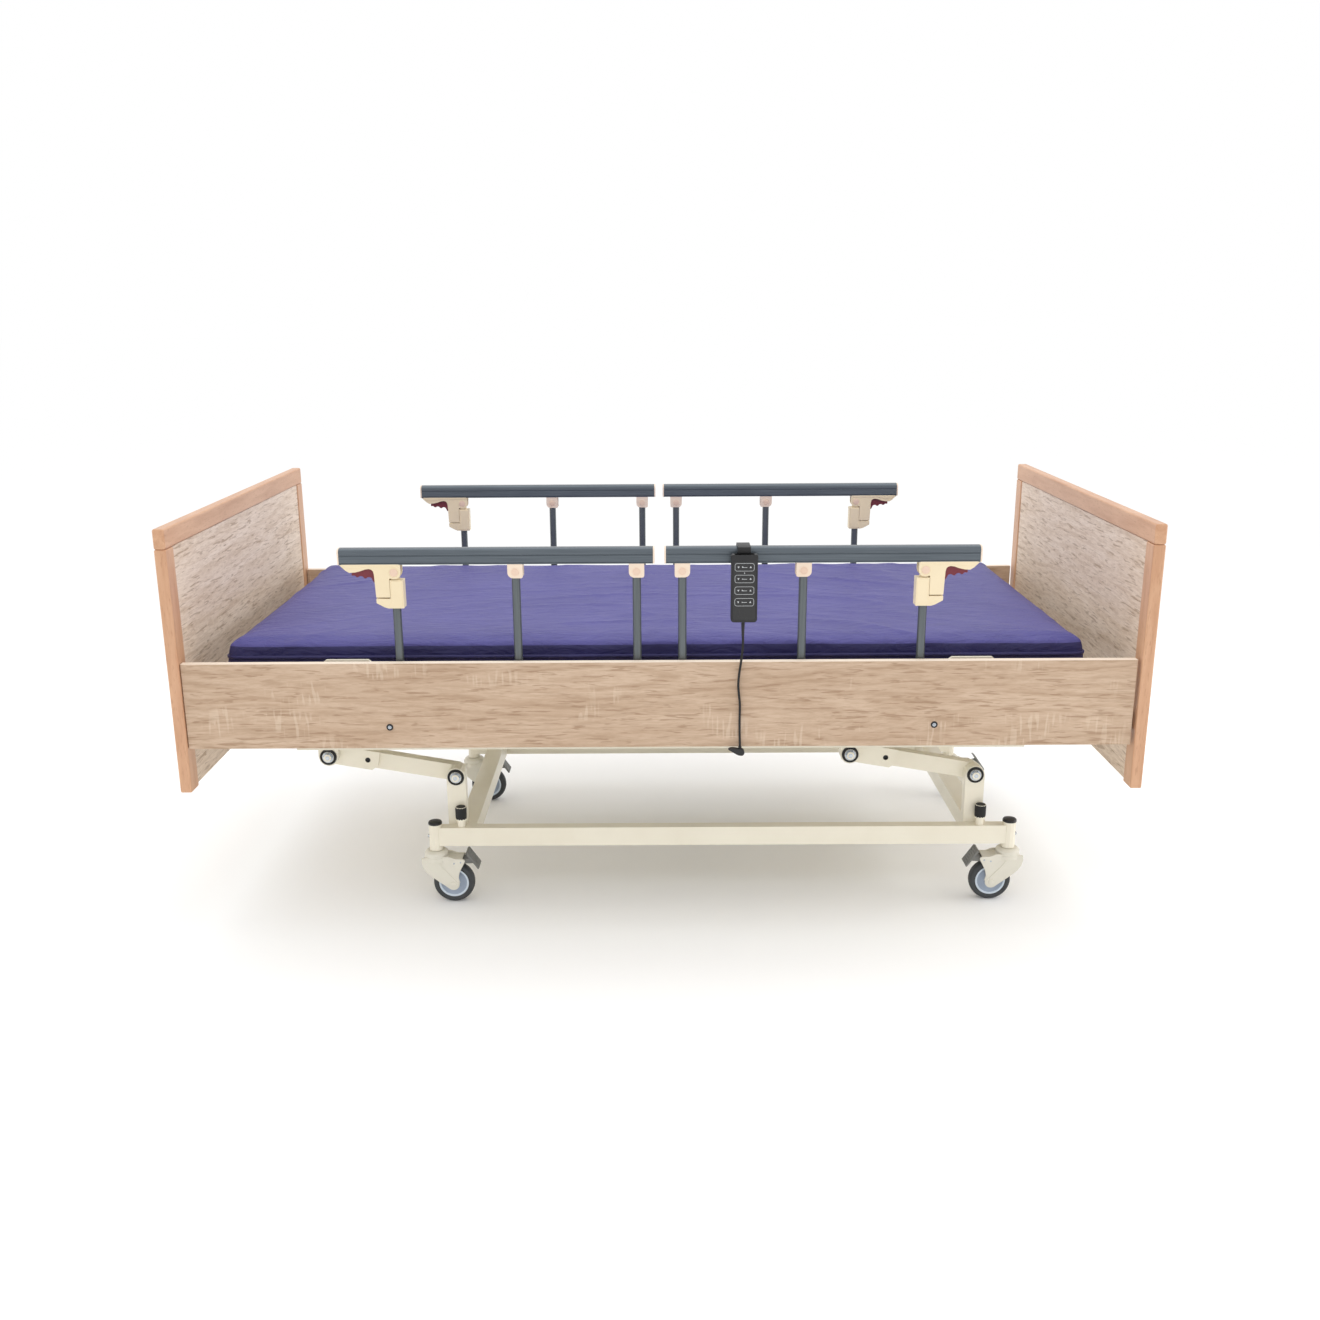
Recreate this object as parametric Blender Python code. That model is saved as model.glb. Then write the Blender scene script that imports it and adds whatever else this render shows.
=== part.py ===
"""Adjustable hospital bed: a wheeled base, two pairs of lift arms, a bed frame with a four-part
deck and mattress, oak end boards and side panels, and four folding side rails.

Metres, +Z up. The origin is on the floor under the middle of the bed. +X points to the foot end
and -Y to the near side, where the handset hangs.
"""
import math

import bmesh
import bpy
from mathutils import Matrix, Vector

# ---------------------------------------------------------------- driving dimensions
SHARP_ANGLE = math.radians(35)
GAP = 0.0003                  # running gap left between pieces that touch
SIDES = 12                    # facets of an ordinary round piece
WELD = 0.004                  # how far a welded piece runs into its neighbour
SHY = 0.001                   # how far a cross tube's faces stay inside the long tubes'

# castors: wheel, swivel offset and the stems that carry them
WHEEL_R = 0.050
WHEEL_HALF_W = 0.014
RIM_HALF_W = 0.0125
WEB_HALF_W = 0.008
HUB_HOLE_R = 0.0056
AXLE_R = 0.005
AXLE_END_R = 0.008
AXLE_END = 0.0245             # outer faces of the axle's two ends
TRAIL = 0.040
FORK_IN = 0.018               # half the space between the fork's cheeks
FORK_OUT = 0.022
FORK_MIDDLE = 0.020
FORK_TOP = 0.134
STEM_R = 0.016
STEM_TOP = 0.204
STEM_X = {"head": -0.543, "foot": 0.8386}
STEM_Y = 0.341

# base frame
BASE_LOW = 0.146
BASE_HIGH = 0.192
BASE_OUT = 0.353              # outer faces of the long tubes
BASE_IN = 0.325
BASE_CROSS_HALF = 0.0225
BASE_CROSS_SHIFT = {"head": BASE_CROSS_HALF, "foot": 0.010}    # from the lower pivots
BUMPER_X = {"head": -0.4798, "foot": 0.7672}
BUMPER_Y = 0.339
BUMPER_R = 0.013
BUMPER_STALK_R = 0.010
BUMPER_LOW = 0.208
BUMPER_TOP = 0.242

# lift linkage: equal parallel arms between the base and the bed frame
LOWER_PIVOT = {"head": (-0.4902, 0.312), "foot": (0.7532, 0.312)}
UPPER_PIVOT = {"head": (-0.7915, 0.365), "foot": (0.4519, 0.365)}
ARM_HALF_H = 0.020
ARM_IN = 0.268
ARM_OUT = 0.2965
CHEEK_OUT = 0.305             # outer face of the plate welded on the arm's outer side
BRACKET_IN = 0.3055
UPRIGHT_IN = 0.297
UPRIGHT_OUT = 0.3254
UPRIGHT_HALF = 0.022
UPRIGHT_FOOT = 0.170
BRACKET_OUT = 0.325
PLATE_R = 0.0235              # rounded ends of the arms' plates and the hanging brackets
PLATE_HOLE_R = 0.0055
PLATE_HOLE_ALONG = 0.090
WASHER_R = 0.0185
WASHER_Y = (0.3235, 0.3295)
BOLT_R = 0.009
BOLT_Y = (0.3285, 0.3365)
HEAD_R = 0.0228               # rounded tops of the uprights
PIN_R = 0.006
PIN_Y = (0.262, 0.3225)
PIN_HOLE_R = 0.0066
HOLE_Y = (0.26, 0.31)           # the cutters for the arms' holes
CRANK_HALF_H = 0.0125
TORSION_R = 0.017
TORSION_ALONG = 0.100         # the torsion tube's distance from the upper pivot

# bed frame
CHASSIS_LOW = 0.400
CHASSIS_HIGH = 0.440
CHASSIS_IN = 0.338
CHASSIS_OUT = 0.378
CHASSIS_END = 0.850
CROSS_LOW = 0.490
CROSS_HIGH = 0.530
CROSS_HALF = 0.020
CROSS_X = (-0.930, -0.600, -0.125, 0.125, 0.420, 0.640, 0.930)
CARRIER_IN = 0.4965
CARRIER_OUT = 0.5265
CARRIER_END = 1.0400

# end boards and side panels
BOARD_IN = 1.0405
BOARD_OUT = 1.0660
BOARD_HALF_W = 0.5515
BOARD_LOW = 0.360
BOARD_TOP = 0.949
BOARD_STILE = 0.048
BOARD_RAIL = 0.044
BOARD_ROUND = 0.008
PANEL_RECESS = 0.003
BOARD_PANEL_LOW = 0.366
SIDE_X = (-1.0390, 1.0330)
SIDE_Y = (0.5270, 0.5450)
SIDE_Z = (0.4606, 0.6540)

# deck and mattress
DECK_LOW = 0.5318
DECK_TOP = 0.5715
DECK_HALF_W = 0.450
DECK_RIM = 0.025
DECK_SHEET = 0.004
DECK_RIB = 0.020
DECK_BAY = 0.190
BACK_HINGE = (-0.240, DECK_TOP)
THIGH_HINGE = (-0.020, DECK_TOP)
KNEE_HINGE = (0.330, DECK_LOW)
DECK_ENDS = (-0.970, 0.960)
HINGE_SLACK = 0.0005
MATTRESS_X = (-0.975, 0.955)
MATTRESS_HALF_W = 0.460
MATTRESS_LOW = 0.5720
MATTRESS_TOP = 0.6820
BACK_RANGE = math.radians(70)
THIGH_RANGE = math.radians(35)
STOP_Y = (0.476, 0.484)       # mattress stops at the deck's sides
STOP_X = {"back": (-0.750, -0.633), "calf": (0.6325, 0.745)}
STOP_TOP = 0.646

# folding side rails
RAIL_Y = 0.512
RAIL_HALF_W = 0.015
RAIL_LOW = 0.866
RAIL_TOP = 0.901
RAIL_START = 0.0104
RAIL_END = 0.687
POST_X = {"inner": 0.0490, "mid": 0.3085, "latch": 0.5680}
POST_R = 0.0092
POST_PIN_R = 0.004
POST_HOLE_R = 0.0045
POST_SIDES = 8
TOP_PIVOT_Z = 0.849
LOW_PIVOT_Z = 0.568
FORK_GAP = 0.0098             # half the space between the cheeks that hold a post
POST_PIN_HALF = 0.012
POST_FOOT_OUT = 0.0138
POST_FOOT_R = 0.010
LATCH_HALF_W = 0.0144
TRIGGER_HALF_W = 0.0082
SLOT_HALF_W = 0.0088
TONGUE_HALF_W = 0.0070
TONGUE_ROOM_HALF_W = 0.0080
TONGUE_ROOM_R = 0.0172        # room in the latch for the post's tongue as the rail folds

# handset and cord
HANDSET_X = (0.151, 0.207)
HANDSET_Y = (-0.5675, -0.5455)
HANDSET_Z = (0.7455, 0.891)
STRAP_X = (0.165, 0.193)
STRAP_SHEET = 0.004
STRAP_GAP = 0.0005            # left between the strap and the rail it hangs on
STRAP_LOW = {"outside": 0.880, "inside": 0.874}
SLEEVE_R = 0.0042
CORD_D = 0.005
CORD_ROUTE = (
    (0.1777, -0.5565, 0.7142), (0.1783, -0.5565, 0.7000), (0.1772, -0.5560, 0.6800),
    (0.1745, -0.5550, 0.6550), (0.1712, -0.5535, 0.6300), (0.1695, -0.5520, 0.6040),
    (0.1712, -0.5512, 0.5820), (0.1735, -0.5510, 0.5580), (0.1733, -0.5510, 0.5220),
    (0.1738, -0.5510, 0.4900), (0.1748, -0.5510, 0.4630),
)

# actuators: (lever radius, its angle from straight down or up at rest)
BACK_LEVER = (0.130, math.radians(35.0))
THIGH_LEVER = (0.130, math.radians(17.5))
LIFT_CRANK = (0.090, math.radians(12.5))
ACTUATOR_Y = {"back": 0.120, "leg": -0.120, "lift": 0.0}
CLEVIS_IN = 0.0065
CLEVIS_OUT = 0.0125
CLEVIS_PIN_R = 0.0045
CLEVIS_PIN_HALF = 0.010
EYE_R = 0.012
EYE_HOLE_R = 0.0051
EYE_HALF_W = 0.0055
GUIDE_HALF = 0.0155           # half the side of an actuator's square guide tube
BORE_R = 0.0098
ROD_R = 0.009

# colours, roughness and metallic value of each finish
FINISHES = {
    "cream_paint": ((0.78, 0.72, 0.58), 0.40, 0.0),
    "oak": ((0.60, 0.45, 0.30), 0.55, 0.0),
    "beech": ((0.74, 0.48, 0.28), 0.50, 0.0),
    "rail_metal": ((0.10, 0.13, 0.16), 0.35, 0.8),
    "maroon_plastic": ((0.16, 0.02, 0.03), 0.45, 0.0),
    "violet_cloth": ((0.10, 0.09, 0.30), 0.80, 0.0),
    "grey_rubber": ((0.045, 0.045, 0.05), 0.70, 0.0),
    "grey_plastic": ((0.10, 0.10, 0.095), 0.50, 0.0),
    "black_plastic": ((0.012, 0.012, 0.014), 0.40, 0.0),
    "dark_metal": ((0.20, 0.20, 0.21), 0.40, 0.9),
}


# ---------------------------------------------------------------- making solids
def clear_scene():
    for item in list(bpy.data.objects):
        bpy.data.objects.remove(item, do_unlink=True)


def finish(name):
    material = bpy.data.materials.get(name)
    if material is None:
        colour, roughness, metallic = FINISHES[name]
        material = bpy.data.materials.new(name)
        material.use_nodes = True
        shader = material.node_tree.nodes["Principled BSDF"]
        shader.inputs["Base Color"].default_value = (*colour, 1.0)
        shader.inputs["Roughness"].default_value = roughness
        shader.inputs["Metallic"].default_value = metallic
    return material


def solid_from(shape):
    """Turn a bmesh into an object whose faces point out."""
    bmesh.ops.recalc_face_normals(shape, faces=shape.faces)
    mesh = bpy.data.meshes.new("solid")
    shape.to_mesh(mesh)
    shape.free()
    made = bpy.data.objects.new("solid", mesh)
    bpy.context.collection.objects.link(made)
    return made


def span(a, b):
    return (min(a, b), max(a, b))


def place(axis, first, second, along):
    """A point from its two coordinates in a plane and the one along the plane's normal."""
    if axis == "X":
        return (along, first, second)
    if axis == "Y":
        return (first, along, second)
    return (first, second, along)


def prism(outline, axis, start, stop):
    """An outline in the plane across the axis, extruded along it from start to stop."""
    shape = bmesh.new()
    low = [shape.verts.new(place(axis, a, b, start)) for a, b in outline]
    high = [shape.verts.new(place(axis, a, b, stop)) for a, b in outline]
    shape.faces.new(low)
    shape.faces.new(high)
    for here in range(len(outline)):
        after = (here + 1) % len(outline)
        shape.faces.new((low[here], low[after], high[after], high[here]))
    return solid_from(shape)


def block(x, y, z):
    (x0, x1), (y0, y1), (z0, z1) = span(*x), span(*y), span(*z)
    return prism(((x0, y0), (x1, y0), (x1, y1), (x0, y1)), "Z", z0, z1)


def arc(centre, radius, start, stop, steps):
    """Points on an arc, its angles in degrees from the first axis towards the second."""
    points = []
    for step in range(steps + 1):
        angle = math.radians(start + (stop - start) * step / steps)
        points.append((centre[0] + radius * math.cos(angle), centre[1] + radius * math.sin(angle)))
    return points


def circle(centre, radius, sides=SIDES):
    return arc(centre, radius, 0, 360 - 360 / sides, sides - 1)


def round_bar(centre, radius, axis, start, stop, sides=SIDES):
    return prism(circle(centre, radius, sides), axis, start, stop)


def rounded_rectangle(x, z, radius, steps=3):
    """A rectangle's outline with all four corners rounded."""
    (x0, x1), (z0, z1) = span(*x), span(*z)
    corners = ((x1, z1, 0), (x0, z1, 90), (x0, z0, 180), (x1, z0, 270))
    points = []
    for cx, cz, start in corners:
        inner = (cx - radius * (1 if cx == x1 else -1), cz - radius * (1 if cz == z1 else -1))
        points += arc(inner, radius, start, start + 90, steps)
    return points


def link(first, second, half_width, steps=4):
    """The outline of a bar with round ends between two points."""
    tilt = math.degrees(math.atan2(second[1] - first[1], second[0] - first[0]))
    return (arc(second, half_width, tilt - 90, tilt + 90, steps)
            + arc(first, half_width, tilt + 90, tilt + 270, steps))


def turned(profile, centre, steps):
    """A closed profile of (radius, offset along Y) turned about a Y axis through the centre."""
    shape = bmesh.new()
    rings = []
    for step in range(steps):
        angle = 2 * math.pi * step / steps
        rings.append([
            shape.verts.new((centre[0] + radius * math.cos(angle), centre[1] + offset,
                             centre[2] + radius * math.sin(angle)))
            for radius, offset in profile
        ])
    for here in range(steps):
        ring, after = rings[here], rings[(here + 1) % steps]
        for point in range(len(profile)):
            following = (point + 1) % len(profile)
            shape.faces.new((ring[point], ring[following], after[following], after[point]))
    return solid_from(shape)


def fuse(name, finish_name, solids, cuts=(), pivot=(0, 0, 0)):
    """Join overlapping solids into one body, cut the holes and set the origin on the pivot."""
    whole = solids[0]
    for operation, others in (("UNION", solids[1:]), ("DIFFERENCE", cuts)):
        for other in others:
            step = whole.modifiers.new(operation.title(), "BOOLEAN")
            step.operation = operation
            step.object = other
            step.solver = "EXACT"
    bpy.context.view_layer.update()
    result = whole.evaluated_get(bpy.context.evaluated_depsgraph_get())
    mesh = bpy.data.meshes.new_from_object(result)
    mesh.transform(Matrix.Translation(-Vector(pivot)))
    mesh.name = name
    for used in (*solids, *cuts):
        bpy.data.objects.remove(used, do_unlink=True)
    made = bpy.data.objects.new(name, mesh)
    made.location = pivot
    mesh.materials.clear()
    mesh.materials.append(finish(finish_name))
    mesh.shade_smooth()
    mesh.set_sharp_from_angle(angle=SHARP_ANGLE)
    bpy.context.collection.objects.link(made)
    return made


# ---------------------------------------------------------------- castors
def make_castor(end, side, way):
    """One castor; way is +1 or -1 for the X direction in which the wheel trails its stem."""
    near = -1 if side == "near" else 1
    stem_x, stem_y = STEM_X[end], near * STEM_Y
    tag = f"{end}_{side}"

    def across(points):
        return [(stem_x + way * u, z) for u, z in points]

    cheek = across(
        [(-0.033, 0.112), (-0.029, 0.091), (-0.015, 0.072)]
        + arc((TRAIL, WHEEL_R), 0.0145, 228, 350, 5)
        + [(0.052, 0.064), (0.058, 0.084), (0.070, 0.108), (0.0645, 0.114), (0.030, 0.116)]
    )
    axle = (stem_x + way * TRAIL, WHEEL_R)
    solids = [prism(cheek, "Y", stem_y + FORK_IN, stem_y + FORK_OUT)]
    solids.append(prism(cheek, "Y", stem_y - FORK_IN, stem_y - FORK_OUT))
    bridge = across([(-0.0325, 0.106), (0.045, 0.106), (0.045, 0.1155), (-0.0325, 0.1118)])
    solids.append(prism(bridge, "Y", stem_y - FORK_MIDDLE, stem_y + FORK_MIDDLE))
    solids.append(round_bar((stem_x, stem_y), 0.027, "Z", 0.110, FORK_TOP))
    solids.append(round_bar(axle, AXLE_R, "Y", stem_y - FORK_MIDDLE, stem_y + FORK_MIDDLE))
    solids.append(round_bar(axle, AXLE_END_R, "Y", stem_y - AXLE_END, stem_y - FORK_MIDDLE))
    solids.append(round_bar(axle, AXLE_END_R, "Y", stem_y + FORK_MIDDLE, stem_y + AXLE_END))
    fuse(f"castor_fork_{tag}", "cream_paint", solids, pivot=(stem_x, stem_y, FORK_TOP))

    hub, rim, web = WHEEL_HALF_W, RIM_HALF_W, WEB_HALF_W
    profile = (
        (HUB_HOLE_R, -hub), (0.016, -hub), (0.018, -web), (0.036, -rim),
        (0.045, -rim), (WHEEL_R, -0.006), (WHEEL_R, 0.006), (0.045, rim),
        (0.036, rim), (0.018, web), (0.016, hub), (HUB_HOLE_R, hub),
    )
    centre = (axle[0], stem_y, axle[1])
    wheel = turned(profile, centre, 20)
    fuse(f"castor_wheel_{tag}", "grey_rubber", [wheel], pivot=centre)

    rivet = (stem_x + way * 0.063, 0.1065)
    plate = across([(0.0745, 0.131), (0.079, 0.133), (0.103, 0.090), (0.098, 0.087)])
    arm = across([(0.060, 0.104), (0.066, 0.101), (0.093, 0.104), (0.085, 0.119), (0.062, 0.110)])
    solids = [
        prism(plate, "Y", stem_y - FORK_OUT, stem_y + FORK_OUT),
        prism(arm, "Y", stem_y - 0.0165, stem_y + 0.0165),
    ]
    fuse(f"castor_pedal_{tag}", "grey_plastic", solids, pivot=(rivet[0], stem_y, rivet[1]))


# ---------------------------------------------------------------- base frame
def pivot_bolt(pivot, near):
    """A pin through an arm's hole, with its washer and its bolt's head on the outer side."""
    return [
        round_bar(pivot, PIN_R, "Y", near * PIN_Y[0], near * PIN_Y[1]),
        round_bar(pivot, WASHER_R, "Y", near * WASHER_Y[0], near * WASHER_Y[1]),
        round_bar(pivot, BOLT_R, "Y", near * BOLT_Y[0], near * BOLT_Y[1]),
    ]


def make_base_frame():
    height = (BASE_LOW, BASE_HIGH)
    solids = []
    for near in (-1, 1):
        sides = (near * BASE_IN, near * BASE_OUT)
        solids.append(block((STEM_X["head"], STEM_X["foot"]), sides, height))
    for end in ("head", "foot"):
        x, z = LOWER_PIVOT[end]
        middle = x + BASE_CROSS_SHIFT[end]
        reach = (middle - BASE_CROSS_HALF, middle + BASE_CROSS_HALF)
        heights = (BASE_LOW + SHY, BASE_HIGH - SHY)
        solids.append(block(reach, (-BASE_IN - WELD, BASE_IN + WELD), heights))
        upright = arc((x, z), HEAD_R, 0, 180, 6)
        upright += [(x - UPRIGHT_HALF, UPRIGHT_FOOT), (x + UPRIGHT_HALF, UPRIGHT_FOOT)]
        for near in (-1, 1):
            stem = (STEM_X[end], near * STEM_Y)
            solids.append(round_bar(stem, STEM_R, "Z", FORK_TOP + GAP, STEM_TOP))
            solids.append(prism(upright, "Y", near * UPRIGHT_IN, near * UPRIGHT_OUT))
            solids += pivot_bolt((x, z), near)
            bumper = (BUMPER_X[end], near * BUMPER_Y)
            stalk = (BASE_HIGH - 0.003, BUMPER_LOW + WELD)
            solids.append(round_bar(bumper, BUMPER_STALK_R, "Z", *stalk))
            solids.append(round_bar(bumper, BUMPER_R, "Z", BUMPER_LOW, BUMPER_TOP))
    fuse("base_frame", "cream_paint", solids)


# ---------------------------------------------------------------- lift arms
def along_arm(end, distance, rise=0.0):
    """A point on an arm's line, from its upper pivot, and above or below the line."""
    start, stop = Vector(UPPER_PIVOT[end]), Vector(LOWER_PIVOT[end])
    run = (stop - start).normalized()
    point = start + run * distance + Vector((-run.y, run.x)) * rise
    return (point.x, point.y)


def make_lift_arms(end):
    upper, lower = UPPER_PIVOT[end], LOWER_PIVOT[end]
    torsion = along_arm(end, TORSION_ALONG)
    tilt = math.degrees(math.atan2(lower[1] - upper[1], lower[0] - upper[0]))
    cheek = arc(upper, PLATE_R, tilt + 90, tilt + 270, 6)
    cheek += [along_arm(end, 0.103, -PLATE_R), along_arm(end, 0.116, -0.011)]
    cheek += [along_arm(end, 0.116, PLATE_R)]
    plate_hole = along_arm(end, PLATE_HOLE_ALONG)
    solids, cuts = [], []
    for near in (-1, 1):
        solids.append(prism(link(upper, lower, ARM_HALF_H), "Y", near * ARM_IN, near * ARM_OUT))
        solids.append(prism(cheek, "Y", near * (ARM_OUT - 0.002), near * CHEEK_OUT))
        cuts.append(round_bar(plate_hole, PLATE_HOLE_R, "Y", near * 0.299, near * HOLE_Y[1]))
        for pivot in (upper, lower):
            cuts.append(round_bar(pivot, PIN_HOLE_R, "Y", near * HOLE_Y[0], near * HOLE_Y[1]))
    solids.append(round_bar(torsion, TORSION_R, "Y", -ARM_IN - WELD, ARM_IN + WELD))
    if end == "foot":
        radius, lean = LIFT_CRANK
        tip = (upper[0] - radius * math.sin(lean), upper[1] + radius * math.cos(lean))
        crank = link(torsion, tip, CRANK_HALF_H)
        for near in (-1, 1):
            solids.append(prism(crank, "Y", near * CLEVIS_IN, near * CLEVIS_OUT))
    fuse(f"lift_arms_{end}", "cream_paint", solids, cuts, pivot=(lower[0], 0, lower[1]))


# ---------------------------------------------------------------- bed frame
def hanging_clevis(x, y, z):
    """Two cheeks and a pin under a cross tube, for an actuator's rear eye."""
    solids = []
    for near in (-1, 1):
        cheek = [(x - EYE_R, CROSS_LOW + 0.005)] + arc((x, z), EYE_R, 180, 360, 4)
        cheek += [(x + EYE_R, CROSS_LOW + 0.005)]
        solids.append(prism(cheek, "Y", y + near * CLEVIS_IN, y + near * CLEVIS_OUT))
    solids.append(round_bar((x, z), CLEVIS_PIN_R, "Y", y - CLEVIS_PIN_HALF, y + CLEVIS_PIN_HALF))
    return solids


def lever_tip(name):
    """Where each actuator's rod meets its lever, at rest."""
    if name == "back":
        radius, lean = BACK_LEVER
        return (BACK_HINGE[0] + radius * math.sin(lean), BACK_HINGE[1] - radius * math.cos(lean))
    if name == "leg":
        radius, lean = THIGH_LEVER
        return (THIGH_HINGE[0] - radius * math.sin(lean), THIGH_HINGE[1] - radius * math.cos(lean))
    radius, lean = LIFT_CRANK
    pivot = UPPER_PIVOT["foot"]
    return (pivot[0] - radius * math.sin(lean), pivot[1] + radius * math.cos(lean))


ACTUATOR_REAR = {"back": CROSS_X[4], "leg": CROSS_X[1], "lift": CROSS_X[2]}


def make_bed_frame():
    solids = []
    for near in (-1, 1):
        sides = (near * CARRIER_IN, near * CARRIER_OUT)
        solids.append(block((-CARRIER_END, CARRIER_END), sides, (CROSS_LOW, CROSS_HIGH)))
        sides = (near * CHASSIS_IN, near * CHASSIS_OUT)
        solids.append(block((-CHASSIS_END, CHASSIS_END), sides, (CHASSIS_LOW, CHASSIS_HIGH)))
    for x in CROSS_X:
        reach = (x - CROSS_HALF, x + CROSS_HALF)
        heights = (CROSS_LOW + SHY, CROSS_HIGH - SHY)
        solids.append(block(reach, (-CARRIER_IN - WELD, CARRIER_IN + WELD), heights))
        if abs(x) < CHASSIS_END:
            for near in (-1, 1):
                riser = (near * (CHASSIS_IN + WELD), near * (CHASSIS_OUT - WELD))
                inset = (x - CROSS_HALF + 0.003, x + CROSS_HALF - 0.003)
                solids.append(block(inset, riser, (CHASSIS_HIGH - 0.005, CROSS_LOW + 0.006)))
    for end in ("head", "foot"):
        x, z = UPPER_PIVOT[end]
        for near in (-1, 1):
            hanger = arc((x, z), PLATE_R, 180, 360, 6)
            hanger += [(x + PLATE_R, CHASSIS_HIGH - 0.003), (x - PLATE_R, CHASSIS_HIGH - 0.003)]
            solids.append(prism(hanger, "Y", near * BRACKET_IN, near * BRACKET_OUT))
            shelf = (near * (BRACKET_IN + 0.002), near * (CHASSIS_IN + WELD))
            heights = (CHASSIS_LOW + 0.003, CHASSIS_HIGH - 0.006)
            solids.append(block((x - 0.021, x + 0.021), shelf, heights))
            solids += pivot_bolt((x, z), near)
    for way in (-1, 1):
        for near in (-1, 1):
            for x in POST_X.values():
                solids += post_foot(way * x, near * RAIL_Y)
    for name, x in ACTUATOR_REAR.items():
        solids += hanging_clevis(x, ACTUATOR_Y[name], lever_tip(name)[1])
    fuse("bed_frame", "cream_paint", solids)


def post_foot(x, y):
    """Two cheeks and a pin on the frame's side tube, for the foot of a rail post."""
    solids = []
    for near in (-1, 1):
        cheek = arc((x, LOW_PIVOT_Z), POST_FOOT_R, 0, 180, 3)
        cheek += [(x - POST_FOOT_R, CROSS_HIGH - WELD), (x + POST_FOOT_R, CROSS_HIGH - WELD)]
        solids.append(prism(cheek, "Y", y + near * FORK_GAP, y + near * POST_FOOT_OUT))
    pin = (y - POST_PIN_HALF, y + POST_PIN_HALF)
    solids.append(round_bar((x, LOW_PIVOT_Z), POST_PIN_R, "Y", *pin, POST_SIDES))
    return solids


# ---------------------------------------------------------------- boards and panels
def make_end_board(name, way):
    """A beech frame round an oak panel; way is -1 at the head and +1 at the foot."""
    inner, outer = way * BOARD_IN, way * BOARD_OUT
    low, high = span(inner, outer)
    profile = [(low, BOARD_LOW), (high, BOARD_LOW)]
    profile += arc((high - BOARD_ROUND, BOARD_TOP - BOARD_ROUND), BOARD_ROUND, 0, 90, 3)
    profile += arc((low + BOARD_ROUND, BOARD_TOP - BOARD_ROUND), BOARD_ROUND, 90, 180, 3)
    whole = prism(profile, "Y", -BOARD_HALF_W, BOARD_HALF_W)
    opening = BOARD_HALF_W - BOARD_STILE
    cut = block((low - 0.01, high + 0.01), (-opening, opening), (BOARD_LOW - 0.01, BOARD_TOP - BOARD_RAIL))
    fuse(f"{name}_board_frame", "beech", [whole], [cut])
    thickness = (low + PANEL_RECESS, high - PANEL_RECESS)
    width = (-opening + GAP, opening - GAP)
    board = block(thickness, width, (BOARD_PANEL_LOW, BOARD_TOP - BOARD_RAIL - GAP))
    fuse(f"{name}_board_panel", "oak", [board])


def make_side_panels():
    for side, near in (("near", -1), ("far", 1)):
        board = block(SIDE_X, (near * SIDE_Y[0], near * SIDE_Y[1]), SIDE_Z)
        fuse(f"side_panel_{side}", "oak", [board])


# ---------------------------------------------------------------- deck and mattress
def deck_tray(x):
    """A sheet with a deep rim below it and ribs that split the hollow into bays."""
    low, high = span(*x)
    solids = [block((low, high), (-DECK_HALF_W, DECK_HALF_W), (DECK_LOW, DECK_TOP))]
    inner = DECK_HALF_W - DECK_RIM
    bays = math.ceil((high - low - 2 * DECK_RIM) / DECK_BAY)
    pitch = (high - low - 2 * DECK_RIM + DECK_RIB) / bays
    cuts = []
    for bay in range(bays):
        start = low + DECK_RIM + bay * pitch
        heights = (DECK_LOW - 0.01, DECK_TOP - DECK_SHEET)
        cuts.append(block((start, start + pitch - DECK_RIB), (-inner, inner), heights))
    return solids, cuts


def mattress_stops(x):
    """The two loops at the deck's sides that keep the mattress from sliding off."""
    low, high = span(*x)
    solids, cuts = [], []
    outline = [(low, 0.545), (high, 0.545), (high, 0.630), (high - 0.003, 0.639), (high - 0.012, STOP_TOP)]
    outline += [(low + 0.012, STOP_TOP), (low + 0.003, 0.639), (low, 0.630)]
    inside = [(low + 0.010, 0.557), (high - 0.010, 0.557), (high - 0.010, 0.629)]
    inside += [(high - 0.016, 0.636), (low + 0.016, 0.636), (low + 0.010, 0.629)]
    for near in (-1, 1):
        solids.append(prism(outline, "Y", near * STOP_Y[0], near * STOP_Y[1]))
        cuts.append(prism(inside, "Y", near * (STOP_Y[0] - 0.004), near * (STOP_Y[1] + 0.004)))
        for foot in (low + 0.006, high - 0.006):
            reach = (near * (DECK_HALF_W - 0.005), near * (STOP_Y[0] + 0.003))
            solids.append(block((foot - 0.005, foot + 0.005), reach, (0.546, 0.556)))
    return solids, cuts


def lever(name, attach):
    """Two cheeks from a deck section's rim down to its actuator's rod."""
    tip, y = lever_tip(name), ACTUATOR_Y[name]
    lean = math.degrees(math.atan2(tip[1] - DECK_LOW, tip[0] - (attach[0] + attach[1]) / 2))
    cheek = [(attach[0], DECK_LOW + WELD), (attach[0], DECK_LOW - SHY)]
    cheek += arc(tip, EYE_R + SHY, lean - 90, lean + 90, 6)
    cheek += [(attach[1], DECK_LOW - SHY), (attach[1], DECK_LOW + WELD)]
    return [
        prism(cheek, "Y", y + near * CLEVIS_IN, y + near * CLEVIS_OUT)
        for near in (-1, 1)
    ]


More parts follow.
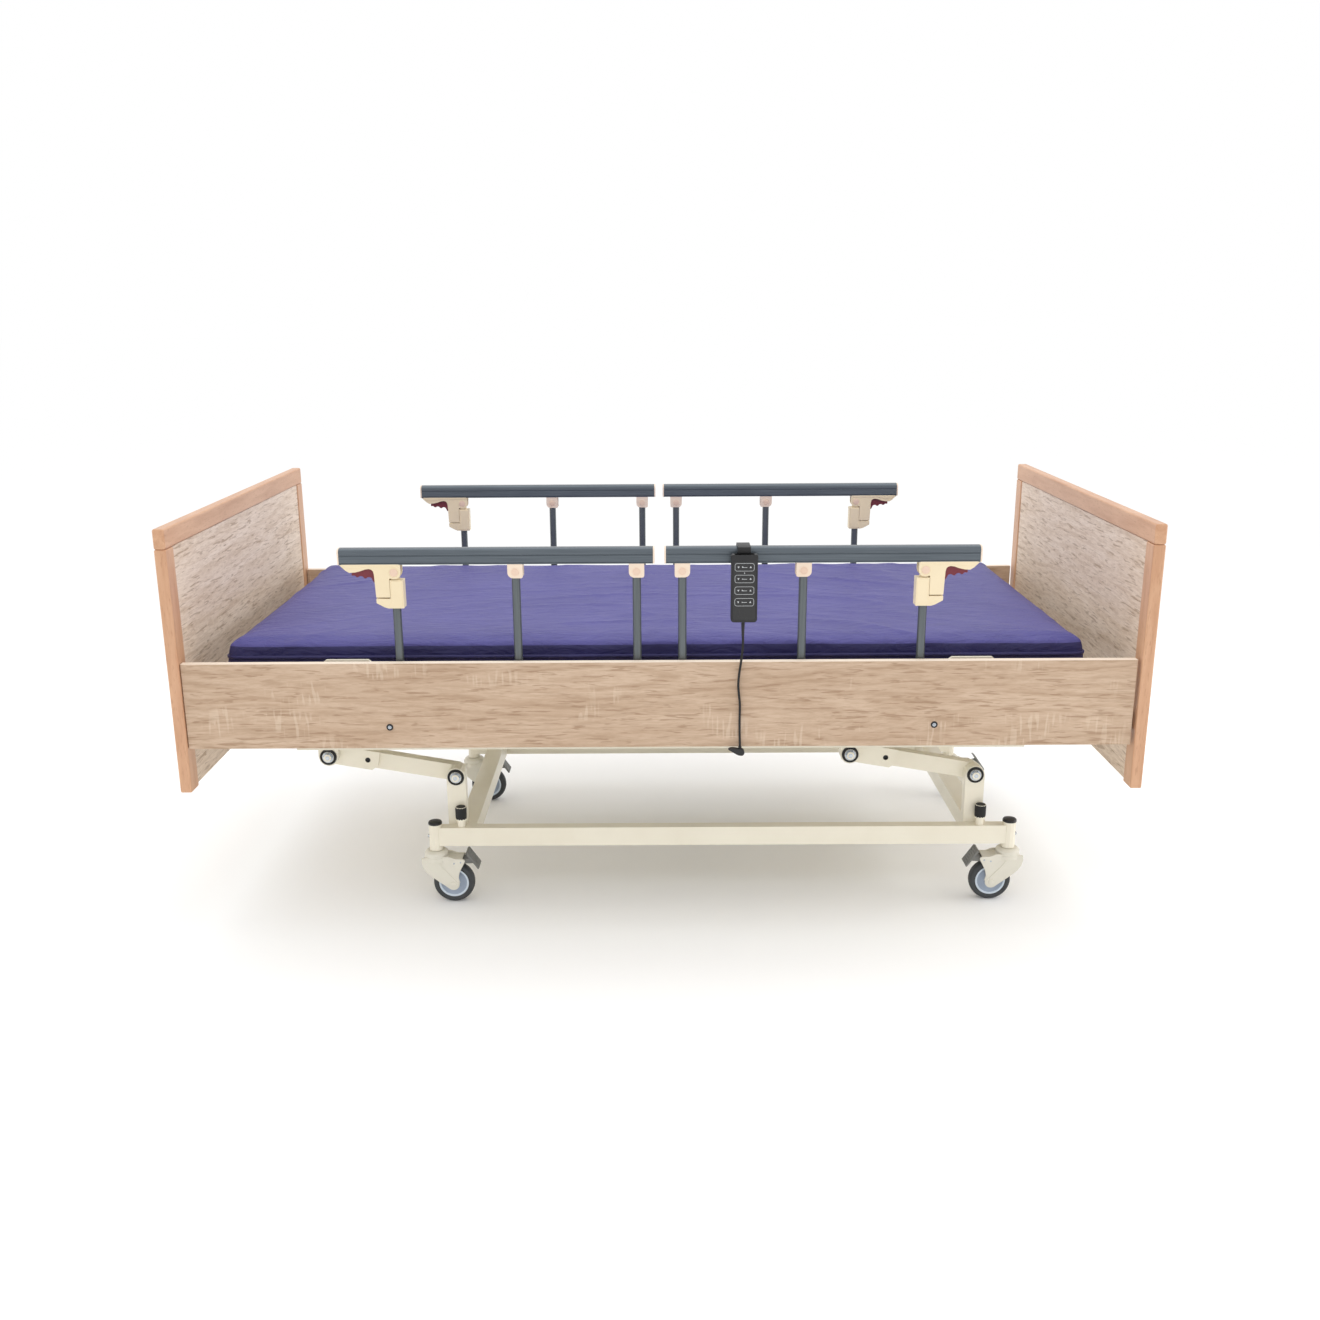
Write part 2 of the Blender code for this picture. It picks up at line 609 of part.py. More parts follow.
def make_deck():
    back, thigh, knee = BACK_HINGE[0], THIGH_HINGE[0], KNEE_HINGE[0]
    sections = {
        "back": ((DECK_ENDS[0], back - HINGE_SLACK), (back, 0, BACK_HINGE[1])),
        "seat": ((back + HINGE_SLACK, thigh - HINGE_SLACK), (0, 0, 0)),
        "thigh": ((thigh + HINGE_SLACK, knee - HINGE_SLACK), (thigh, 0, THIGH_HINGE[1])),
        "calf": ((knee + HINGE_SLACK, DECK_ENDS[1]), (knee, 0, KNEE_HINGE[1])),
    }
    for name, (reach, pivot) in sections.items():
        solids, cuts = deck_tray(reach)
        if name in STOP_X:
            more, holes = mattress_stops(STOP_X[name])
            solids += more
            cuts += holes
        if name == "back":
            solids += lever("back", (back - 0.024, back - 0.003))
        if name == "thigh":
            solids += lever("leg", (thigh + 0.003, thigh + 0.024))
        fuse(f"deck_{name}", "cream_paint", solids, cuts, pivot=pivot)


def make_mattress():
    """Four foam blocks; V notches at the two folds that close leave the room foam gives up."""
    back, thigh, knee = BACK_HINGE[0], THIGH_HINGE[0], KNEE_HINGE[0]
    low, high = MATTRESS_LOW + 0.0002, MATTRESS_TOP
    back_lean = (high - BACK_HINGE[1]) * math.tan(BACK_RANGE / 2)
    thigh_lean = (high - THIGH_HINGE[1]) * math.tan(THIGH_RANGE / 2)
    slack = HINGE_SLACK + 0.0005
    faces = {
        "back": ((MATTRESS_X[0], MATTRESS_X[0]), (back - slack, back - slack - back_lean)),
        "seat": ((back + slack, back + slack + back_lean), (thigh - slack, thigh - slack - thigh_lean)),
        "thigh": ((thigh + slack, thigh + slack + thigh_lean), (knee - slack, knee - slack)),
        "calf": ((knee + slack, knee + slack), (MATTRESS_X[1], MATTRESS_X[1])),
    }
    pivots = {"back": (back, 0, BACK_HINGE[1]), "thigh": (thigh, 0, THIGH_HINGE[1])}
    pivots["calf"] = (knee, 0, KNEE_HINGE[1])
    for name, ((low0, high0), (low1, high1)) in faces.items():
        outline = ((low0, low), (low1, low), (high1, high), (high0, high))
        foam = prism(outline, "Y", -MATTRESS_HALF_W, MATTRESS_HALF_W)
        fuse(f"mattress_{name}", "violet_cloth", [foam], pivot=pivots.get(name, (0, 0, 0)))


# ---------------------------------------------------------------- side rails
def make_side_rail(end, side):
    way = -1 if end == "head" else 1
    near = -1 if side == "near" else 1
    y = near * RAIL_Y
    tag = f"{end}_{side}"
    latch_x = POST_X["latch"]

    def across(points):
        """Points given outward from the latch pivot and up from it, in the bed's frame."""
        return [(way * (latch_x + u), TOP_PIVOT_Z + w) for u, w in points]

    profile = [(y - RAIL_HALF_W, RAIL_LOW), (y + RAIL_HALF_W, RAIL_LOW)]
    profile += arc((y + RAIL_HALF_W - 0.009, RAIL_TOP - 0.009), 0.009, 0, 90, 4)
    profile += arc((y - RAIL_HALF_W + 0.009, RAIL_TOP - 0.009), 0.009, 90, 180, 4)
    solids = [prism(profile, "X", way * RAIL_START, way * RAIL_END)]
    cuts = []
    for post in ("inner", "mid"):
        x = way * POST_X[post]
        cheek = [(x - 0.0165, RAIL_LOW + 0.003), (x - 0.0165, 0.841)]
        cheek += [(x - 0.010, 0.835), (x + 0.010, 0.835), (x + 0.0165, 0.841)]
        cheek += [(x + 0.0165, RAIL_LOW + 0.003)]
        for face in (-1, 1):
            solids.append(prism(cheek, "Y", y + face * FORK_GAP, y + face * LATCH_HALF_W))
        pin = (y - POST_PIN_HALF, y + POST_PIN_HALF)
        solids.append(round_bar((x, TOP_PIVOT_Z), POST_PIN_R, "Y", *pin, POST_SIDES))
    shell = across([(-0.0145, 0.019), (-0.0145, 0.0)] + arc((0, 0), 0.0145, 195, 300, 4)
                   + [(0.0100, -0.012), (0.0100, -0.054), (0.0415, -0.054), (0.0425, 0.003)]
                   + [(0.046, 0.0065), (0.053, 0.0085), (0.071, 0.003), (0.096, 0.0), (0.117, 0.019)])
    solids.append(prism(shell, "Y", y - LATCH_HALF_W, y + LATCH_HALF_W))
    tongue_room = across(circle((0, 0), TONGUE_ROOM_R, 20))
    below = across([(-0.020, 0.0), (0.0098, 0.0), (0.0098, -0.020), (-0.020, -0.020)])
    cuts.append(prism(tongue_room, "Y", y - TONGUE_ROOM_HALF_W, y + TONGUE_ROOM_HALF_W))
    cuts.append(prism(below, "Y", y - TONGUE_ROOM_HALF_W, y + TONGUE_ROOM_HALF_W))
    slot = across([(0.0445, 0.0135), (0.0445, -0.004), (0.0925, -0.004), (0.0925, 0.0135)])
    cuts.append(prism(slot, "Y", y - SLOT_HALF_W, y + SLOT_HALF_W))
    fuse(f"side_rail_{tag}", "rail_metal", solids, cuts, pivot=(way * latch_x, y, TOP_PIVOT_Z))

    trigger = across([(0.0455, 0.0075), (0.0435, -0.0035), (0.0430, -0.0225), (0.0490, -0.0130),
                      (0.0560, -0.0105), (0.0640, -0.0130), (0.0710, -0.0085), (0.0790, -0.0105),
                      (0.0905, -0.0075), (0.0910, -0.0020), (0.0850, 0.0045)])
    solids = [prism(trigger, "Y", y - TRIGGER_HALF_W, y + TRIGGER_HALF_W)]
    hinge = (way * (latch_x + 0.048), y, TOP_PIVOT_Z + 0.004)
    fuse(f"latch_trigger_{tag}", "maroon_plastic", solids, pivot=hinge)

    for post, x in POST_X.items():
        make_post(post, way * x, y, tag, across)


def make_post(post, x, y, tag, across):
    foot = LOW_PIVOT_Z - 0.012
    low_hole = round_bar((x, LOW_PIVOT_Z), POST_HOLE_R, "Y", y - 0.02, y + 0.02)
    high_hole = round_bar((x, TOP_PIVOT_Z), POST_HOLE_R, "Y", y - 0.02, y + 0.02)
    if post == "latch":
        solids = [round_bar((x, y), POST_R, "Z", foot, TOP_PIVOT_Z - 0.060)]
        body = across([(-0.0185, -0.0165), (-0.0185, -0.078), (0.015, -0.078), (0.0405, -0.066),
                       (0.0405, -0.0565), (0.0095, -0.0565), (0.0095, -0.0165)])
        solids.append(prism(body, "Y", y - LATCH_HALF_W, y + LATCH_HALF_W))
        tongue = across([(-0.009, -0.020), (0.009, -0.020)] + arc((0, 0), 0.0100, 0, 180, 7))
        solids.append(prism(tongue, "Y", y - TONGUE_HALF_W, y + TONGUE_HALF_W))
    else:
        solids = [round_bar((x, y), POST_R, "Z", foot, TOP_PIVOT_Z + 0.0105)]
    fuse(f"rail_{post}_post_{tag}", "rail_metal", solids, [low_hole, high_hole],
         pivot=(x, y, LOW_PIVOT_Z))


# ---------------------------------------------------------------- handset, cord, control box
def make_handset():
    outline = rounded_rectangle(HANDSET_X, HANDSET_Z, 0.006)
    back = HANDSET_Y[1]
    rail_in = -(RAIL_Y - RAIL_HALF_W)
    hook_in, hook_out = rail_in + STRAP_GAP, rail_in + STRAP_GAP + STRAP_SHEET
    top = (RAIL_TOP + STRAP_GAP, RAIL_TOP + STRAP_GAP + STRAP_SHEET)
    outside = (STRAP_LOW["outside"], RAIL_TOP + STRAP_SHEET)
    inside = (STRAP_LOW["inside"], RAIL_TOP + STRAP_SHEET)
    sleeve = (HANDSET_Z[0] - 0.031, HANDSET_Z[0] + 0.003)
    solids = [
        prism(outline, "Y", HANDSET_Y[0], back),
        block(STRAP_X, (back - STRAP_SHEET, back), outside),
        block(STRAP_X, (back - STRAP_SHEET, hook_out), top),
        block(STRAP_X, (hook_in, hook_out), inside),
        round_bar(CORD_ROUTE[0][:2], SLEEVE_R, "Z", *sleeve),
    ]
    fuse("handset", "black_plastic", solids)


def smooth_route(points, spacing):
    """Evenly spaced points on a Catmull-Rom curve through the given points."""
    knots = [Vector(point) for point in points]
    knots = [2 * knots[0] - knots[1]] + knots + [2 * knots[-1] - knots[-2]]
    fine = []
    for here in range(1, len(knots) - 2):
        before, start, stop, after = knots[here - 1:here + 3]
        for step in range(20):
            t = step / 20
            fine.append(0.5 * (2 * start + (stop - before) * t
                               + (2 * before - 5 * start + 4 * stop - after) * t ** 2
                               + (3 * start - before - 3 * stop + after) * t ** 3))
    fine.append(knots[-2])
    lengths = [0.0]
    for here in range(1, len(fine)):
        lengths.append(lengths[-1] + (fine[here] - fine[here - 1]).length)
    count = round(lengths[-1] / spacing)
    route, here = [], 0
    for step in range(count + 1):
        wanted = lengths[-1] * step / count
        while here < len(fine) - 2 and lengths[here + 1] < wanted:
            here += 1
        share = (wanted - lengths[here]) / (lengths[here + 1] - lengths[here])
        route.append(fine[here].lerp(fine[here + 1], share))
    return route


def make_cord():
    curve = bpy.data.curves.new("handset_cord", "CURVE")
    curve.dimensions = "3D"
    curve.bevel_depth = CORD_D / 2
    curve.bevel_resolution = 2
    curve.use_fill_caps = True
    route = smooth_route(CORD_ROUTE, 2.5 * CORD_D)
    spline = curve.splines.new("POLY")
    spline.points.add(len(route) - 1)
    for point, place_at in zip(spline.points, route):
        point.co = (*place_at, 1.0)
    cord = bpy.data.objects.new("handset_cord", curve)
    curve.materials.append(finish("black_plastic"))
    bpy.context.collection.objects.link(cord)

    tip, blunt = (0.1486, 0.4570), (0.1840, 0.4500)
    half_tip, half_blunt = 0.0028, 0.0072
    taper = [(tip[0], tip[1] - half_tip), (blunt[0] - 0.006, blunt[1] - half_blunt)]
    taper += arc((blunt[0] - 0.006, blunt[1]), half_blunt, -60, 60, 4)
    taper += [(blunt[0] - 0.006, blunt[1] + half_blunt), (tip[0], tip[1] + half_tip)]
    solids = [
        prism(taper, "Y", -0.5565, -0.5455),
        round_bar(CORD_ROUTE[-1][:2], 0.0040, "Z", 0.452, CORD_ROUTE[-1][2] - GAP),
    ]
    fuse("cord_plug", "black_plastic", solids)


def make_control_box():
    outline = rounded_rectangle((0.050, 0.250), (0.4420, CROSS_LOW - GAP), 0.008)
    fuse("control_box", "grey_plastic", [prism(outline, "Y", 0.170, 0.280)])


# ---------------------------------------------------------------- actuators
def make_actuator(name, front_x, rod_rear_x):
    """A motor with a square guide tube, and the rod that slides in it towards the lever."""
    rear_x, y = ACTUATOR_REAR[name], ACTUATOR_Y[name]
    tip_x, z = lever_tip(name)
    way = 1 if tip_x > rear_x else -1

    def outward(along, rise):
        """A point given along the actuator from its rear eye and up from it."""
        return (rear_x + way * along, z + rise)

    eye = [outward(0.040, -0.010)]
    eye += [outward(along, rise) for along, rise in arc((0, 0), 0.011, 270, 90, 6)]
    eye += [outward(0.040, 0.010)]
    motor = (rear_x + way * 0.022, rear_x + way * 0.150)
    guide = (rear_x + way * 0.148, front_x)
    solids = [
        prism(eye, "Y", y - EYE_HALF_W, y + EYE_HALF_W),
        block(motor, (y - 0.024, y + 0.024), (z - 0.046, z + 0.019)),
        block(guide, (y - GUIDE_HALF, y + GUIDE_HALF), (z - GUIDE_HALF, z + GUIDE_HALF)),
    ]
    cuts = [
        round_bar((rear_x, z), EYE_HOLE_R, "Y", y - 0.02, y + 0.02),
        round_bar((y, z), BORE_R, "X", rod_rear_x - way * 0.050, front_x + way * 0.010),
    ]
    fuse(f"{name}_actuator", "grey_plastic", solids, cuts)
    lean = 0 if way > 0 else 180
    tongue = arc((tip_x, z), 0.0105, lean - 90, lean + 90, 6)
    tongue += [(tip_x - way * 0.022, z + way * 0.0085), (tip_x - way * 0.022, z - way * 0.0085)]
    solids = [
        round_bar((y, z), ROD_R, "X", rod_rear_x, tip_x - way * 0.017),
        prism(tongue, "Y", y - EYE_HALF_W, y + EYE_HALF_W),
    ]
    fuse(f"{name}_actuator_rod", "dark_metal", solids, pivot=(tip_x, y, z))


# ---------------------------------------------------------------- the bed
def build():
    clear_scene()
    make_base_frame()
    trails = {("head", "near"): 1, ("head", "far"): 1, ("foot", "near"): -1, ("foot", "far"): 1}
    for (end, side), way in trails.items():
        make_castor(end, side, way)
    make_lift_arms("head")
    make_lift_arms("foot")
    make_bed_frame()
    make_end_board("head", -1)
    make_end_board("foot", 1)
    make_side_panels()
    make_deck()
    make_mattress()
    for end in ("head", "foot"):
        for side in ("near", "far"):
            make_side_rail(end, side)
    make_handset()
    make_cord()
    make_control_box()
    make_actuator("back", -0.110, 0.100)
    make_actuator("leg", -0.1090, -0.280)
    make_actuator("lift", 0.355, 0.220)
    print("nodes:", len(bpy.data.objects))


build()
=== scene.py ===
# %% [markdown]
# # An adjustable hospital bed
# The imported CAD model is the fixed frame: its wheels, arms, deck and rails turn about real joints.
# This lesson dresses it. Big painted tubes keep their CAD mesh and get soft edges and a real finish.
# What the eye rests on, such as the mattress, rails, latches, castors and hand control, is rebuilt.

# %% Load the frame
import math

import bmesh
import bpy
from mathutils import Matrix, Vector, noise


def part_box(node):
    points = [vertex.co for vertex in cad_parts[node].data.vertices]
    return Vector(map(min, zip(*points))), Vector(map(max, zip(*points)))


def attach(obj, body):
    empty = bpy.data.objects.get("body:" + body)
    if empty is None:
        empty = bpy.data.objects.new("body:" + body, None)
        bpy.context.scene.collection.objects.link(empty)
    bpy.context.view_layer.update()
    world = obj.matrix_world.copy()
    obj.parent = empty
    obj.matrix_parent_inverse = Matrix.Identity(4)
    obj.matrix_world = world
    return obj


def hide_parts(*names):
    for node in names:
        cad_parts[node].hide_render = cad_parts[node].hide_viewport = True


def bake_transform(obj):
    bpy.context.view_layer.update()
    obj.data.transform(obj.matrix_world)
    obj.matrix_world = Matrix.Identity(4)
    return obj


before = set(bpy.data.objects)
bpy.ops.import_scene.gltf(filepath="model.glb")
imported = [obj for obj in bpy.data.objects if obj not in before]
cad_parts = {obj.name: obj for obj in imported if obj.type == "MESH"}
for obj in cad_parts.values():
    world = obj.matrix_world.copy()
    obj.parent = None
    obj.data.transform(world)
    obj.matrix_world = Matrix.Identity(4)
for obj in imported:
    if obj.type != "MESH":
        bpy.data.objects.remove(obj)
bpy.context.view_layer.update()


def add_object(name, data):
    """Put a mesh, curve, lamp or camera into the scene as a new object."""
    made = bpy.data.objects.new(name, data)
    bpy.context.collection.objects.link(made)
    return made

# %% [markdown]
# ## The camera
# A long, level look from the bed's near side, a little above it. The camera comes first, because the
# cord's spread is judged against what the camera sees.

# %% Camera
camera_data = bpy.data.cameras.new("camera")
camera_data.lens = 35.83
camera_data.shift_x = 0.0029
camera_data.shift_y = 0.0195
camera = add_object("camera", camera_data)
camera.location = (-0.0004, -3.2877, 1.3908)
TURN, TILT, ROLL = math.radians(0.168), math.radians(73.93), math.radians(-0.332)
camera.matrix_world = (Matrix.Translation(camera.location) @ Matrix.Rotation(TURN, 4, "Z")
                       @ Matrix.Rotation(TILT, 4, "X") @ Matrix.Rotation(ROLL, 4, "Z"))
bpy.context.scene.camera = camera
print("camera at", tuple(camera.location))

# %% [markdown]
# ## Writing shader maths as Python
# A material is a graph of nodes. Making each node by hand is slow to read, so a small class wraps a
# socket and gives it Python's operators: `height * 0.5 + grain` then adds its own Math nodes.

# %% A socket that can do maths
class Value:
    """A node's output; operators on it add Math nodes to its finish."""

    def __init__(self, finish, socket):
        self.finish = finish
        self.socket = socket

    def maths(self, operation, first, second):
        return self.finish.node("ShaderNodeMath", {"operation": operation}, {0: first, 1: second})

    def __add__(self, other):
        return self.maths("ADD", self, other)

    def __rsub__(self, other):
        return self.maths("SUBTRACT", other, self)

    def __mul__(self, other):
        return self.maths("MULTIPLY", self, other)

    def above(self, other):
        return self.maths("GREATER_THAN", self, other)

    __radd__ = __add__
    __rmul__ = __mul__


class Finish:
    """A material and short calls that add nodes to it."""

    def __init__(self, name, roughness=0.5, metallic=0.0, coat=0.0):
        self.material = bpy.data.materials.new(name)
        self.material.use_nodes = True
        self.tree = self.material.node_tree
        self.shader = self.tree.nodes["Principled BSDF"]
        self.set(Roughness=roughness, Metallic=metallic, Coat_Weight=coat)

    def node(self, kind, settings=None, sockets=None, output=0):
        made = self.tree.nodes.new(kind)
        for name, value in (settings or {}).items():
            setattr(made, name, value)
        for name, value in (sockets or {}).items():
            self.feed(made.inputs[name], value)
        return Value(self, made.outputs[output])

    def feed(self, socket, value):
        if isinstance(value, Value):
            self.tree.links.new(value.socket, socket)
        else:
            socket.default_value = value

    def set(self, **sockets):
        for name, value in sockets.items():
            self.feed(self.shader.inputs[name.replace("_", " ")], value)

    def place(self, stretch=(1, 1, 1)):
        """The point on the piece at rest, each axis stretched; a small number draws long grain."""
        point = self.node("ShaderNodeTexCoord", output="Object")
        return self.node("ShaderNodeMapping", None, {"Vector": point, "Scale": stretch})

    def height(self):
        """How high the point is above the floor at rest."""
        point = self.node("ShaderNodeTexCoord", output="Object")
        return self.node("ShaderNodeSeparateXYZ", None, {0: point}, output="Z")

    def noise(self, scale, stretch=(1, 1, 1), detail=3.0, distortion=0.0, rough=0.5):
        sockets = {"Vector": self.place(stretch), "Scale": scale, "Detail": detail}
        sockets.update({"Distortion": distortion, "Roughness": rough})
        return self.node("ShaderNodeTexNoise", None, sockets)

    def steps(self, mask, low, high):
        """The mask stretched so that low becomes 0 and high becomes 1."""
        return self.node("ShaderNodeMapRange", None, {"Value": mask, "From Min": low, "From Max": high})

    def mix(self, mask, first, second):
        settings = {"data_type": "RGBA"}
        return self.node("ShaderNodeMix", settings, {0: mask, 6: first, 7: second}, output=2)

    def bump(self, height, distance, strength=1.0):
        sockets = {"Height": height, "Distance": distance, "Strength": strength}
        self.set(Normal=self.node("ShaderNodeBump", None, sockets))


def shade(red, green, blue):
    """A colour as painters see it, 0 to 255, in the light-linear numbers that shaders use."""
    linear = []
    for part in (red, green, blue):
        part /= 255
        linear.append(part / 12.92 if part <= 0.04045 else ((part + 0.055) / 1.055) ** 2.4)
    return (*linear, 1.0)


# %% [markdown]
# ## Painted and moulded finishes
# Powder paint is one colour with a faint mottle and an orange-peel skin. Moulded plastic has a finer
# grain. Both come from one recipe: two noises, one for tone and one for the skin's relief.

# %% Paint and plastic
def painted(name, colour, darker, roughness, grain, relief, metallic=0.0, coat=0.0):
    finish = Finish(name, roughness, metallic, coat)
    mottle = finish.steps(finish.noise(9.0, detail=4.0), 0.35, 0.70)
    finish.set(Base_Color=finish.mix(mottle, colour, darker))
    finish.set(Roughness=finish.noise(26.0) * 0.16 + (roughness - 0.08))
    finish.bump(finish.noise(grain, detail=2.0), relief)
    return finish.material


CREAM_PAINT = painted("cream powder paint", shade(241, 235, 217), shade(236, 229, 210),
                      0.34, 700.0, 0.00012, coat=0.15)
CASTOR_SHELL = painted("castor shell", shade(226, 222, 208), shade(219, 214, 200), 0.42, 900.0, 0.00010)
LATCH_CREAM = painted("latch cream", shade(243, 226, 192), shade(236, 218, 182), 0.42, 1200.0, 0.00008)
BRACKET_CREAM = painted("bracket cream", shade(244, 224, 203), shade(238, 216, 195), 0.45, 1200.0, 0.00008)
MAROON = painted("maroon trigger", shade(122, 42, 54), shade(104, 30, 42), 0.42, 1100.0, 0.00010)
TYRE = painted("grey tyre", shade(62, 64, 66), shade(52, 54, 56), 0.62, 800.0, 0.00015)
HUB = painted("blue grey hub", shade(160, 172, 190), shade(148, 160, 178), 0.38, 900.0, 0.00008)
HUB_RING = painted("hub ring", shade(216, 226, 236), shade(204, 216, 228), 0.30, 900.0, 0.00005)
PEDAL_GREY = painted("pedal grey", shade(120, 120, 116), shade(104, 104, 101), 0.48, 900.0, 0.00012)
DRIVE_GREY = painted("drive grey", shade(92, 95, 98), shade(82, 85, 88), 0.50, 700.0, 0.00015)
BLACK = painted("black moulding", shade(30, 30, 32), shade(22, 22, 24), 0.42, 1300.0, 0.00010)
BLACK_GLOSS = painted("black keypad", shade(26, 26, 28), shade(20, 20, 22), 0.26, 1500.0, 0.00003, coat=0.3)
RUBBER = painted("black rubber", shade(22, 22, 23), shade(16, 16, 17), 0.66, 600.0, 0.00018)
CAP_PINK = painted("pivot cap", shade(236, 208, 186), shade(228, 198, 176), 0.40, 1200.0, 0.00005)
INK = painted("keypad ink", shade(205, 208, 210), shade(198, 200, 203), 0.50, 900.0, 0.00002)
STEEL = painted("zinc plated steel", shade(196, 202, 208), shade(176, 182, 190), 0.26, 500.0, 0.00004, 1.0)
BRIGHT_ROD = painted("bright rod", shade(205, 205, 205), shade(190, 190, 192), 0.18, 900.0, 0.00002, 1.0)


def squeezed(axis, amount):
    """A stretch for noise that draws long grain along one axis."""
    return [amount if name == axis else 1.0 for name in "XYZ"]


def anodised(name, lit, dark, along):
    """Extruded metal: streaks that run along one axis, from the die that drew it."""
    finish = Finish(name, 0.34, 0.55, 0.1)
    streaks = finish.noise(420.0, squeezed(along, 0.02), detail=2.0)
    finish.set(Base_Color=finish.mix(finish.steps(streaks, 0.3, 0.7), lit, dark))
    finish.set(Roughness=streaks * 0.14 + 0.27)
    finish.bump(streaks, 0.00006)
    return finish.material


RAIL_METAL = anodised("slate rail", shade(99, 107, 114), shade(86, 94, 101), "X")
POST_METAL = anodised("slate post", shade(104, 110, 112), shade(92, 98, 101), "Z")
print(len(bpy.data.materials), "finishes mixed")

# %% [markdown]
# ## Wood
# The boards are chipboard with a printed oak paper: long wavy figure, thin dark pores and short pale
# saw marks across the grain. The end frames are solid beech, plain, with tiny flecks.
# Noise squeezed along one axis draws grain that runs along it.

# %% Oak and beech
def oak(name, along, across, tones, edge=None):
    """along is the axis of the grain and across the other axis of the board's face."""
    finish = Finish(name, 0.56)

    def stretched(length, width, depth=1.0):
        stretch = [depth, depth, depth]
        stretch["XYZ".index(along)] = length
        stretch["XYZ".index(across)] = width
        return stretch

    figure = finish.noise(6.0, stretched(0.26, 2.4), detail=6.0, distortion=2.2, rough=0.62)
    tone = finish.noise(1.5, stretched(0.8, 1.6), detail=2.0)
    wave = {"wave_type": "BANDS", "bands_direction": across}
    rings = finish.node("ShaderNodeTexWave", wave, {
        "Vector": finish.place(stretched(0.30, 1.0, 0.05)), "Scale": 16.0, "Distortion": 13.0,
        "Detail": 4.0, "Detail Scale": 0.9, "Detail Roughness": 0.6})
    fibre = finish.steps(finish.noise(330.0, stretched(0.10, 1.0), detail=3.0, distortion=0.8), 0.42, 0.66)
    pores = finish.steps(finish.noise(190.0, stretched(0.09, 1.0), detail=2.0, distortion=0.6), 0.58, 0.66)
    band = finish.steps(finish.noise(8.0, stretched(0.8, 1.5), detail=1.0), 0.56, 0.64)
    saw = finish.steps(finish.noise(150.0, stretched(1.0, 0.12), detail=0.0), 0.58, 0.66) * band
    pale, mid, deep = (shade(*tone_value) for tone_value in tones)
    colour = finish.mix(finish.steps(figure, 0.38, 0.62), pale, mid)
    colour = finish.mix(finish.steps(tone, 0.35, 0.75) * 0.22, colour, deep)
    ring_mask = finish.steps(rings, 0.35, 1.0) * finish.steps(figure, 0.38, 0.60)
    colour = finish.mix(ring_mask * 0.55, colour, deep)
    colour = finish.mix(fibre * 0.32, colour, shade(168, 136, 106))
    colour = finish.mix(pores * 0.50, colour, shade(146, 113, 84))
    colour = finish.mix(saw * 0.26, colour, shade(236, 218, 195))
    # Above the given height the top face and top edge are painted pale: a painted highlight.
    if edge is not None:
        colour = finish.mix(finish.height().above(edge), colour, shade(240, 224, 205))
    finish.set(Base_Color=colour, Roughness=pores * 0.12 + 0.50)
    finish.bump((1.0 - pores) + saw * 0.6, 0.00018)
    return finish.material


def beech(name, along):
    finish = Finish(name, 0.44, coat=0.12)
    stretch = squeezed(along, 0.12)
    grain = finish.noise(60.0, stretch, detail=4.0, distortion=0.4)
    flecks = finish.steps(finish.noise(420.0, stretch, detail=1.0), 0.60, 0.70)
    colour = finish.mix(finish.steps(grain, 0.3, 0.7), shade(214, 169, 134), shade(197, 148, 113))
    colour = finish.mix(flecks * 0.35, colour, shade(166, 116, 82))
    finish.set(Base_Color=colour)
    finish.bump(grain + flecks * -0.4, 0.00010)
    return finish.material


SIDE_TONES = ((209, 183, 158), (195, 167, 141), (170, 141, 114))
# The end panels are the same oak painted lighter: painted light on the boards' inner faces.
END_TONES_PAINTED_LIGHTER = ((240, 222, 204), (229, 208, 187), (204, 178, 153))
# How far the painted highlight reaches down from the side panels' top.
TOP_HIGHLIGHT_DEPTH = 0.0008
panel_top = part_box("side_panel_near")[1][2]
OAK_SIDE = oak("oak side panel", "X", "Z", SIDE_TONES, edge=panel_top - TOP_HIGHLIGHT_DEPTH)
OAK_END_PAINTED_LIGHTER = oak("oak end panel painted lighter", "Y", "Z", END_TONES_PAINTED_LIGHTER)
BEECH_STILE = beech("beech upright", "Z")
BEECH_RAIL = beech("beech top rail", "Y")
print("wood finishes ready, side panels end at", round(panel_top, 4))

# %% [markdown]
# ## The mattress cover
# A wipe-clean nylon cover: a fine weave, a soft sheen where light grazes it, and a violet that is lighter
# on top than down the border, partly the cloths' own colours and partly painted light on top and painted
# shade down the border. The weave is two crossed sets of tiny ridges over a broader crush.

# %% Cover cloth
def cover_cloth(name, lit, deep, roughness):
    finish = Finish(name, roughness)
    weave_x = finish.noise(900.0, (1.0, 0.12, 1.0), detail=1.0)
    weave_y = finish.noise(900.0, (0.12, 1.0, 1.0), detail=1.0)
    crush = finish.noise(34.0, (0.45, 1.5, 1.0), detail=5.0, distortion=1.1, rough=0.62)
    tone = finish.steps(finish.noise(5.0, detail=3.0), 0.3, 0.7)
    finish.set(Base_Color=finish.mix(tone, lit, deep))
    finish.set(Roughness=crush * 0.2 + (roughness - 0.1))
    finish.bump(crush * 7.0 + (weave_x + weave_y) * 0.30, 0.00090)
    finish.set(Sheen_Weight=0.08, Sheen_Roughness=0.4, Sheen_Tint=(0.62, 0.60, 1.0, 1.0))
    return finish.material


# The top cloth is painted lighter and the border cloth darker: partly their own colours, partly painted light
# on top and painted shade on the border.
COVER_TOP_CLOTH_AND_LIGHT = cover_cloth("cover top cloth and painted light", shade(82, 78, 148), shade(74, 70, 138), 0.52)
COVER_BORDER_CLOTH_AND_SHADE = cover_cloth("cover border cloth and painted shade", shade(43, 40, 98), shade(35, 32, 85), 0.55)
print("cover cloth ready")

